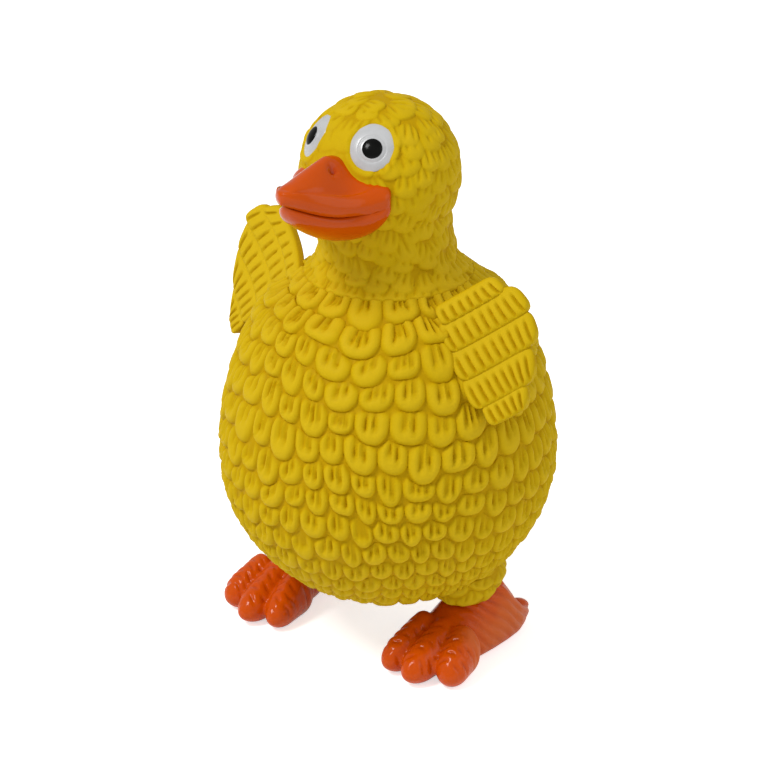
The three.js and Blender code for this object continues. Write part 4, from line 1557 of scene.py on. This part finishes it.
    def build(self) -> Piece:
        """Models the bill with its nostrils.

        Returns:
            The dressed piece.
        """
        loft = RingLoft()
        for share in 0.0006 + 0.9994 * np.linspace(0, 1, self.rings) ** 1.7:
            x, z = self.ring(float(share))
            x, z = np.concatenate([x, -x[-2:0:-1]]), np.concatenate([z, z[-2:0:-1]])
            y = np.full(len(x), -self.root_forward - self.length * (1 - share))
            loft.ring(np.stack([x, y, z], 1), np.arange(len(x)) / len(x), np.full(len(x), 0.6))
        piece = loft.closed("bill_skin")
        points = Bench.points(piece)
        x, y = np.abs(points[:, 0]) - self.nostril[0], points[:, 1] - self.nostril[1]
        wide, long = self.nostril_size
        hole = bell(x, 0, wide) * bell(y + 0.5 * x, 0, long) * (points[:, 2] > self.nostril_floor)
        points[:, 2] -= self.nostril_depth * hole
        Bench.press(piece, points)
        # Painted shade: the relief mark falls to 0 in the nostrils, so the paint darkens there.
        Bench.mark(piece, "relief", 0.7 - 0.7 * hole)
        return Bench.dress(piece, BILL_PAINT.material(), Slot.ORANGE, ["upper_bill", "lower_bill"], 60)


@dataclass
class Wing:
    """One wing of five ribbed bands that stand out from the shoulder.

    Starts and ends are shares of the length, from the root to the tip of each band.
    """

    side: Side
    reach: float
    drop: float
    set_back: float
    ends: tuple[float, ...]
    length: float = 23.5
    thickness: float = 4.0
    band: float = 6.6
    top_edge: float = 16.0
    bend: float = 5.5
    bend_power: float = 3.0
    root_height: float = 80.3
    root_angle: float = 28.0
    spread_angle: float = 18.8
    rise_angle: float = 36.4
    twist_angle: float = 16.0
    rib_depth: float = 1.0
    rib_half_width: float = 0.34
    rib_margin: float = 0.8
    rib_lean: float = 0.12
    top_share: float = 0.62
    overlap: float = 0.55
    upper_fade: tuple[float, float] = (-0.6, -0.1)
    lower_fade: tuple[float, float] = (0.72, 0.96)
    slot_shade: float = 0.9
    edge_shade: float = 0.25
    box_power: float = 5.0
    widths: tuple[float, ...] = (0.55, 0.95, 1.0, 1.03, 0.67)
    starts: tuple[float, ...] = (0.22, 0.16, 0.13, 0.12, 0.18)
    ribs: tuple[int, ...] = (7, 9, 9, 8, 5)
    tip_power: float = 3.4
    slant: float = 0.55
    overhang: float = 0.008
    rings: int = 150
    around: int = 40

    def axes(self) -> tuple[np.ndarray, np.ndarray, np.ndarray, np.ndarray]:
        """The wing's directions out, down and to the front, and its middle.

        Returns:
            Three unit vectors and a point.
        """
        out = facing(90 + self.spread_angle, self.rise_angle)
        fall = facing(90 + self.spread_angle, self.rise_angle - 90)
        ahead = np.cross(fall, out)
        twist = math.radians(self.twist_angle)
        down = fall * math.cos(twist) + ahead * math.sin(twist)
        front = np.cross(down, out)
        trunk = Trunk()
        root = trunk.radius * math.sqrt(1 - ((self.root_height - trunk.widest) / trunk.rise) ** 2)
        origin = facing(90 - self.root_angle, 0) * root + np.array([0, 0, self.root_height])
        origin = origin + out * self.reach + down * self.drop - front * self.set_back
        return out, down, front, origin

    def ribbed(self, order: int) -> Piece:
        """Models one band of the wing.

        Its slots run across it and stop short of both edges. Its outer end follows the wing's outline.

        Args:
            order: the band's number, from the top.

        Returns:
            The bare band.
        """
        out, down, front, origin = self.axes()
        start = (self.starts[order] - 0.5) * self.length
        end = (self.ends[order] + self.overhang - 0.5) * self.length
        middles = (np.cumsum(self.widths) - np.array(self.widths) / 2) * self.band
        middle = middles[order] - self.top_edge
        half = self.widths[order] * self.band / 2 + self.overlap
        slant = self.slant * np.gradient(np.array(self.ends) * self.length, middles)[order]
        span, centre = (end - start) / 2, (end + start) / 2
        angle = np.arange(self.around) / self.around * 2 * math.pi
        c, k, power = np.cos(angle), np.sin(angle), self.box_power
        box = (np.abs(c) ** power + np.abs(k) ** power) ** (-1 / power)
        loft = RingLoft()
        pitch = (end - start - 2 * self.rib_margin) / self.ribs[order]
        for t in np.sin(np.linspace(-math.pi / 2, math.pi / 2, self.rings)) * 0.9995:
            size = (1 - abs(t) ** (span * (self.tip_power if t > 0 else power) / half)) ** 0.5
            along = centre + span * t
            across = c * box * half * size
            through = k * box * self.thickness / 2 * size
            count = (along - start - self.rib_margin) / pitch - self.rib_lean * across / half
            inside = (count > 0) & (count < self.ribs[order])
            slot = bell((count - np.floor(count) - 0.5) * pitch, 0, self.rib_half_width) * inside
            place = across / half
            slot = slot * smooth(place, *self.upper_fade) * (1 - smooth(place, *self.lower_fade))
            slot = slot * np.abs(through) * 2 / self.thickness
            shape = mix(self.top_share, 1.0, smooth(place, -1.0, 0.4))
            through = through * shape - np.sign(through) * self.rib_depth * slot
            bend = self.bend * max(0.0, 0.5 - along / self.length) ** self.bend_power
            points = origin + np.outer(along + slant * smooth(t, 0.0, 1.0) * across, out)
            points = points + down * (middle + across)[:, None]
            points = points + front * (bend - self.thickness / 2 + through)[:, None]
            points[:, 0] *= self.side.value
            # Painted shade: the relief mark falls in the slots, near the band's edges and towards its ends,
            # so the latex finish darkens there.
            relief = size * (1 - self.slot_shade * slot) * mix(self.edge_shade, 1.0, 1 - np.abs(place) ** 4)
            loft.ring(points, angle / (2 * math.pi), relief)
        return loft.closed(f"band_{order}")

    def build(self) -> Piece:
        """Models the wing.

        Returns:
            The dressed piece.
        """
        bands = [self.ribbed(order) for order in range(len(self.widths))]
        piece = Bench.join(f"{self.side.word}_wing_bands", bands)
        return Bench.dress(piece, LATEX.material(), Slot.LATEX, [f"{self.side.word}_wing"], 70)


@dataclass
class Foot:
    """A foot of three wrinkled toes, an instep and a heel, with the yellow leg above it."""

    side: Side
    out: float = 24.0
    off_centre: float = 2.8
    back: float = 3.0
    length: float = 29.0
    half_width: float = 7.6
    front_share: float = 0.46
    height: float = 16.0
    seam: float = 14.6
    seam_tilt: float = 3.0
    axis_height: float = 4.4
    toe_radius: float = 4.5
    toe_length: float = 14.4
    toe_spacing: float = 5.6
    toe_fall: float = 1.8
    toe_root: float = 0.3
    toe_nose: float = 0.55
    toe_power: float = 2.1
    toe_taper: float = 0.2
    spur_size: tuple[float, float, float] = (3.5, 8.4, 3.7)
    spur_place: tuple[float, float, float] = (0.2, 4.6, 0.9)
    leg_rise: float = 4.2
    leg_arc: tuple[float, float] = (-32, 60)
    leg_places: tuple[float, ...] = (0.0, 0.3, 0.6)
    leg_widths: tuple[float, ...] = (4.6, 4.9, 5.0)
    leg_relief: float = 0.45
    voxel: float = 0.36
    wrinkle_depth: float = 0.42
    wrinkle_pitch: float = 2.5
    crease_width: float = 0.2
    outer_pitch: float = 0.72
    crease_wave: float = 0.25
    crease_base: float = 0.55
    fold_wave: float = 0.7
    fan_depth: float = 0.4
    fan_turn: float = 1.85
    leg_half_width: float = 7.5
    leg_half_length: float = 10.0
    places: tuple[float, ...] = (0, 0.14, 0.32, 0.5, 0.68, 0.84, 1)
    widths: tuple[float, ...] = (0.62, 0.95, 1, 0.96, 0.86, 0.7, 0.4)
    heights: tuple[float, ...] = (0.5, 0.72, 0.95, 1.05, 1.1, 0.7, 0.3)
    sides: tuple[float, ...] = (-0.16, -0.1, 0.02, 0.14, 0.26, 0.38, 0.46)

    def toes(self) -> list[tuple[np.ndarray, np.ndarray, float]]:
        """Each toe's root, way to its tip and radius, as on a left foot about its own middle.

        Returns:
            One entry for each toe, from the inner one out.
        """
        front = -self.length * self.front_share + self.toe_radius / 2
        found = []
        for x, turn, size, length in ((-1, -8, 0.9, 0.88), (0, 0, 1, 1), (1, 14, 1, 0.72)):
            root = np.array([x * self.toe_spacing, front, self.axis_height + 1.0])
            t = math.radians(turn)
            way = np.array([math.sin(t), -math.cos(t), 0]) * self.toe_length * length
            found.append((root, way - np.array([0, 0, self.toe_fall]), self.toe_radius * size))
        return found

    def toe(self, root: np.ndarray, way: np.ndarray, radius: float) -> Piece:
        """Models one toe as a tapering finger with a round tip.

        Args:
            root: where it leaves the instep.
            way: the way from there to its tip.
            radius: half its width at the root.

        Returns:
            The bare toe.
        """
        loft = RingLoft()
        angle = np.arange(32) / 32 * 2 * math.pi
        across = np.cross([0, 0, 1.0], way / np.linalg.norm(way))
        for t in mix(-self.toe_root, 1.0, (1 - np.cos(np.linspace(0.02, math.pi, 48))) / 2):
            nose = max(0.0, (t - self.toe_nose) / (1 - self.toe_nose))
            size = cap(max(0.0, -t / self.toe_root)) * math.sqrt(max(0.0, 1 - nose ** self.toe_power))
            size = size * (1 - self.toe_taper * t) + 0.01
            centre = root + way * t
            lift = (centre[2] + 0.8) * size
            points = centre + np.outer(radius * size * np.cos(angle), across)
            points[:, 2] += lift * np.sin(angle)
            loft.ring(points, angle / (2 * math.pi), np.zeros(32))
        return loft.closed("toe")

    def instep(self) -> Piece:
        """Models the instep from behind the toes to the heel.

        Returns:
            The bare instep.
        """
        loft = RingLoft()
        angle = np.arange(48) / 48 * 2 * math.pi
        front = -self.length * self.front_share
        for share in np.linspace(0, 1, 40):
            width = self.half_width * np.interp(share, self.places, self.widths)
            top = self.height * np.interp(share, self.places, self.heights)
            middle = self.half_width * np.interp(share, self.places, self.sides)
            lift = np.where(np.sin(angle) > 0, top - self.axis_height, self.axis_height + 1.2)
            x = middle + width * np.cos(angle)
            z = self.axis_height + lift * np.sin(angle)
            points = np.stack([x, np.full(48, front + share * self.length), z], 1)
            loft.ring(points, angle / (2 * math.pi), np.zeros(48))
        return loft.closed("instep")

    def spur(self) -> Piece:
        """Models the heel's point.

        Returns:
            The bare heel.
        """
        piece = Bench.ball("spur", 32, 24)
        heel = np.array([self.half_width / 2, self.length * (1 - self.front_share), self.axis_height])
        middle = heel - np.array(self.spur_place)
        Bench.press(piece, Bench.points(piece) * np.array(self.spur_size) + middle)
        return piece

    def wrinkles(self, points: np.ndarray) -> tuple[np.ndarray, np.ndarray]:
        """Creases across the toes and folds down the outer side of the instep.

        Args:
            points: the foot's corners about its own middle.

        Returns:
            The depth of crease at each point and how far it is worn to matt.
        """
        depth = np.zeros(len(points))
        best = np.full(len(points), 1e9)
        for number, (root, way, radius) in enumerate(self.toes()):
            length = np.linalg.norm(way)
            axis = way / length
            local = points - root
            along = local @ axis
            off = np.linalg.norm(local - np.outer(along, axis), axis=1) / radius
            pitch = self.wrinkle_pitch * (self.outer_pitch if number == 2 else 1.0)
            phase = along / pitch + self.crease_wave * np.sin(points[:, 0] * 0.9 + number)
            crease = bell(phase - np.floor(phase), 0.5, self.crease_width)
            here = crease * smooth(along, -3.0, 1.0) * (1 - smooth(along, length * 0.75, length * 1.05))
            wave = np.sin(1.7 * points[:, 0] + 2.1 * np.floor(phase) + number)
            here = here * (self.crease_base + (1 - self.crease_base) * wave)
            near = off < best
            depth = np.where(near, here, depth)
            best = np.minimum(best, off)
        x, y, z = points.T
        depth = depth * (1 - smooth(best, 1.25, 1.6)) * smooth(z, 2.0, 5.5)
        fan = self.fan_turn * (y + z) + self.fold_wave * np.sin(y / 2 + x / 3)
        side = smooth(y, -9.0, -5.0) * smooth(z, 1.5, 4.0) * smooth(x, -4.0, 1.0)
        depth = depth + side * (0.5 + 0.5 * np.sin(fan)) ** 2 * self.fan_depth / self.wrinkle_depth
        matt = smooth(x, 4.0, 9.0) * smooth(y, -16.0, -10.0)
        return depth, matt

    def tilt(self, points: np.ndarray) -> np.ndarray:
        """How far the edge of the paint climbs towards the heel."""
        return self.seam_tilt * smooth(points[:, 1], -5.0, 9.0)

    def place(self, points: np.ndarray) -> np.ndarray:
        """Moves points about the foot's own middle to its side of the duck.

        Args:
            points: points of a left foot.

        Returns:
            The points in the duck's frame.
        """
        points = points.copy()
        points[:, 0] *= self.side.value
        return points + np.array([self.side.value * self.out - self.off_centre, self.back, 0])

    def build(self) -> list[Piece]:
        """Models the foot and the leg.

        Returns:
            Both dressed pieces.
        """
        lumps = [self.toe(*toe) for toe in self.toes()]
        foot = Bench.join(f"{self.side.word}_foot_skin", [self.instep(), self.spur(), *lumps])
        Bench.apply(foot, "REMESH", mode="VOXEL", voxel_size=self.voxel * MM)
        Bench.apply(foot, "SMOOTH", factor=0.5, iterations=9)
        points = Bench.points(foot)
        depth, matt = self.wrinkles(points)
        points = points - Bench.normals(foot) * (depth * self.wrinkle_depth)[:, None]
        points[:, 2] = np.clip(points[:, 2], 0.0, self.seam + self.tilt(points))
        Bench.press(foot, self.place(points))
        if self.side is Side.RIGHT:
            Bench.outward(foot, 0.000001)
        if len(foot.data.vertices) == len(depth):
            # Painted shade: the relief mark falls in the creases, so the paint darkens there; the worn mark
            # is real wear to matt.
            Bench.mark(foot, "relief", 1 - 0.35 * depth)
            Bench.mark(foot, "worn", matt)
        Bench.dress(foot, FOOT_PAINT.material(), Slot.ORANGE, [f"{self.side.word}_foot"], 60)
        return [foot, self.leg()]

    def leg(self) -> Piece:
        """Models the feathered leg between the belly and the foot.

        Returns:
            The dressed leg.
        """
        size = self.leg_half_width
        outline = Meridian([Meridian.arc(self.seam + self.leg_rise, size, size, *self.leg_arc)])
        rows = Rows(self.leg_places, self.leg_widths, 0.5, 0.5)
        skin = FeatheredSkin(outline, upright, rows, 3 + self.side.value)
        skin.free(self.leg_half_width - 1.4, self.seam, 48)
        plume = Plume(self.leg_relief, (2, 2, 1), slot_half_width=0.32, edge=1.6, scallop=0.15)
        skin.clothe([plume, plume, plume])
        leg = skin.loft.closed(f"{self.side.word}_leg_skin")
        points = Bench.points(leg)
        points[:, 1] *= self.leg_half_length / self.leg_half_width
        points[:, 2] += self.tilt(points) * (1 - smooth(points[:, 2], self.seam, self.seam + 6.0))
        Bench.press(leg, self.place(points))
        Bench.outward(leg)
        return Bench.dress(leg, LATEX.material(), Slot.LATEX, [], 70)


@dataclass
class Squeaker:
    """The plastic squeaker under the belly: a turned housing; its reed parts stay CAD."""

    low: float = 12.15
    flange_radius: float = 9.0
    flange_top: float = 13.65
    radius: float = 6.0
    bead_radius: float = 7.0
    bead_low: float = 19.7
    bead_length: float = 1.6
    top: float = 25.15
    bore: float = 3.6
    air_hole: float = 1.5
    steps: int = 72

    def build(self) -> Piece:
        """Spins the housing's section about the axis.

        Returns:
            The dressed piece.
        """
        section = [
            (self.air_hole, self.low + 0.4), (self.air_hole + 0.4, self.low),
            (self.flange_radius - 0.35, self.low), (self.flange_radius, self.low + 0.35),
            (self.flange_radius, self.flange_top - 0.6), (self.flange_radius - 0.3, self.flange_top - 0.3),
            (self.radius, self.flange_top), (self.radius, self.bead_low), (self.bead_radius, self.bead_low),
            (self.radius, self.bead_low + self.bead_length), (self.radius, self.top),
            (self.bore, self.top), (self.bore, self.flange_top), (self.air_hole, self.flange_top),
        ]
        mesh = bpy.data.meshes.new("squeaker_shell")
        corners = [(r * MM, 0, z * MM) for r, z in section]
        edges = [(i, (i + 1) % len(corners)) for i in range(len(corners))]
        mesh.from_pydata(corners, edges, [])
        piece = Bench.link("squeaker_shell", mesh)
        Bench.take(piece)
        bpy.ops.object.mode_set(mode="EDIT")
        bpy.ops.mesh.select_all(action="SELECT")
        bpy.ops.mesh.spin(steps=self.steps, angle=2 * math.pi, center=(0, 0, 0), axis=(0, 0, 1))
        bpy.ops.object.mode_set(mode="OBJECT")
        Bench.outward(piece, 0.00002)
        return Bench.dress(piece, PLASTIC.material(), Slot.PLASTIC, ["squeaker_housing"], 35)

    def dress_frame(self, nodes: dict[str, Piece]) -> None:
        """Gives the CAD reed, bed and clamp their finishes.

        Args:
            nodes: the CAD pieces by name.
        """
        for name, finish in (("reed_bed", PLASTIC), ("reed_clamp", PLASTIC), ("reed", FILM)):
            nodes[name].data.materials.clear()
            nodes[name].data.materials.append(finish.material())


@dataclass(frozen=True)
class Lamp:
    """A square lamp that points at the duck, in degrees, millimetres and watts."""

    name: str
    azimuth: float
    elevation: float
    distance: float
    size: float
    power: float


@dataclass
class Studio:
    """Pale floor, soft light and the camera of the photograph, in degrees and millimetres."""

    azimuth: float = 36.0
    elevation: float = 24.0
    distance: float = 533.0
    target: tuple[float, float, float] = (-0.66, -0.65, 62.85)
    sensor: float = 36.0
    lens: float = 109.2
    soft_light: float = 0.54
    floor_glow: float = 0.62
    floor_gloss: float = 0.3
    lamps: tuple[Lamp, ...] = (
        Lamp("key_lamp", -20, 52, 900, 260, 4.6),
        Lamp("fill_lamp", 110, 25, 1000, 700, 1.7),
    )

    def aim(self, name: str, data: bpy.types.ID, azimuth: float, elevation: float, distance: float) -> Piece:
        """Stands a camera or lamp off the duck and points it there.

        Args:
            name: its name.
            data: the camera or lamp.
            azimuth: the way to it from the duck, in degrees from the front.
            elevation: its angle above the floor.
            distance: how far off it is.

        Returns:
            The object.
        """
        made = Bench.link(name, data)
        way = facing(azimuth, elevation)
        made.location = Vector((np.array(self.target) + way * distance) * MM)
        made.rotation_mode = "QUATERNION"
        made.rotation_quaternion = Vector(-way).to_track_quat("-Z", "Y")
        return made

    def camera(self) -> None:
        """Places the camera."""
        data = bpy.data.cameras.new("camera")
        data.lens, data.sensor_width = self.lens, self.sensor
        data.clip_start, data.clip_end = 0.01, 20
        bpy.context.scene.camera = self.aim("camera", data, self.azimuth, self.elevation, self.distance)

    def floor(self) -> None:
        """Lays the floor, which shows white to the camera and keeps the soft shadow."""
        Bench.clear()
        bpy.ops.mesh.primitive_circle_add(vertices=96, radius=6.0, fill_type="NGON", location=(0, 0, 0))
        floor = bpy.context.object
        floor.name = "floor"
        bench = ShaderBench("pale_floor")
        speck = bench.noise(3.0)
        colour = bench.blend(speck, Tone(252, 252, 251).linear(), Tone(250, 250, 250).linear())
        seen = bench.node("ShaderNodeLightPath", {}, {}, "Is Camera Ray")
        glossy = bench.node("ShaderNodeLightPath", {}, {}, "Is Glossy Ray")
        share = seen * self.floor_glow + glossy * self.floor_gloss
        glow = bench.blend(share, (0, 0, 0, 1), (1, 1, 1, 1))
        bench.finish(Base_Color=colour, Roughness=0.9, Specular_IOR_Level=0.1)
        bench.finish(Emission_Color=glow, Emission_Strength=1.0)
        floor.data.materials.append(bench.material)

    def light(self) -> None:
        """Hangs the lamps."""
        for lamp in self.lamps:
            data = bpy.data.lights.new(lamp.name, "AREA")
            data.shape, data.size, data.energy = "SQUARE", lamp.size * MM, lamp.power
            self.aim(lamp.name, data, lamp.azimuth, lamp.elevation, lamp.distance)

    def world(self) -> None:
        """Fills the surroundings with plain soft light that looks white to the camera."""
        world = bpy.data.worlds.new("studio")
        bpy.context.scene.world = world
        world.use_nodes = True
        tree = world.node_tree
        tree.nodes.clear()
        either = tree.nodes.new("ShaderNodeMixShader")
        path = tree.nodes.new("ShaderNodeLightPath")
        tree.links.new(path.outputs["Is Camera Ray"], either.inputs[0])
        for spot, strength in ((1, self.soft_light), (2, 1.0)):
            white = tree.nodes.new("ShaderNodeBackground")
            white.inputs["Color"].default_value = (1, 1, 1, 1)
            white.inputs["Strength"].default_value = strength
            tree.links.new(white.outputs[0], either.inputs[spot])
        output = tree.nodes.new("ShaderNodeOutputWorld")
        tree.links.new(either.outputs[0], output.inputs["Surface"])

    def build(self) -> None:
        """Sets up the whole studio."""
        bpy.context.scene.view_settings.view_transform = "Standard"
        self.camera()
        self.floor()
        self.world()
        self.light()
        LOG.info("studio: camera, floor, world and %d lamps", len(self.lamps))


def main() -> None:
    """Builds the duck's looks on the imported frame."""
    logging.basicConfig(level=logging.INFO, format="%(message)s")
    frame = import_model()
    Studio().build()
    Trunk().build()
    head = Head()
    head.build()
    for eye in head.eyes:
        eye.build(head)
    for side in Side:
        Foot(side).build()
    Bill().build()
    Wing(Side.LEFT, 8.4, 5.0, 2.6, (0.88, 1.02, 0.99, 0.82, 0.61)).build()
    Wing(
        Side.RIGHT, 11.6, 2.8, 6.5, (0.88, 1.02, 0.94, 0.77, 0.5), starts=(-0.1, -0.02, 0.04, 0.08, 0.1),
        ribs=(7, 8, 7, 6, 4), rib_depth=0.7, slant=0.95, tip_power=5.0, overhang=-0.02,
    ).build()
    squeaker = Squeaker()
    squeaker.build()
    squeaker.dress_frame(frame["nodes"])


if __name__ == "__main__":
    main()
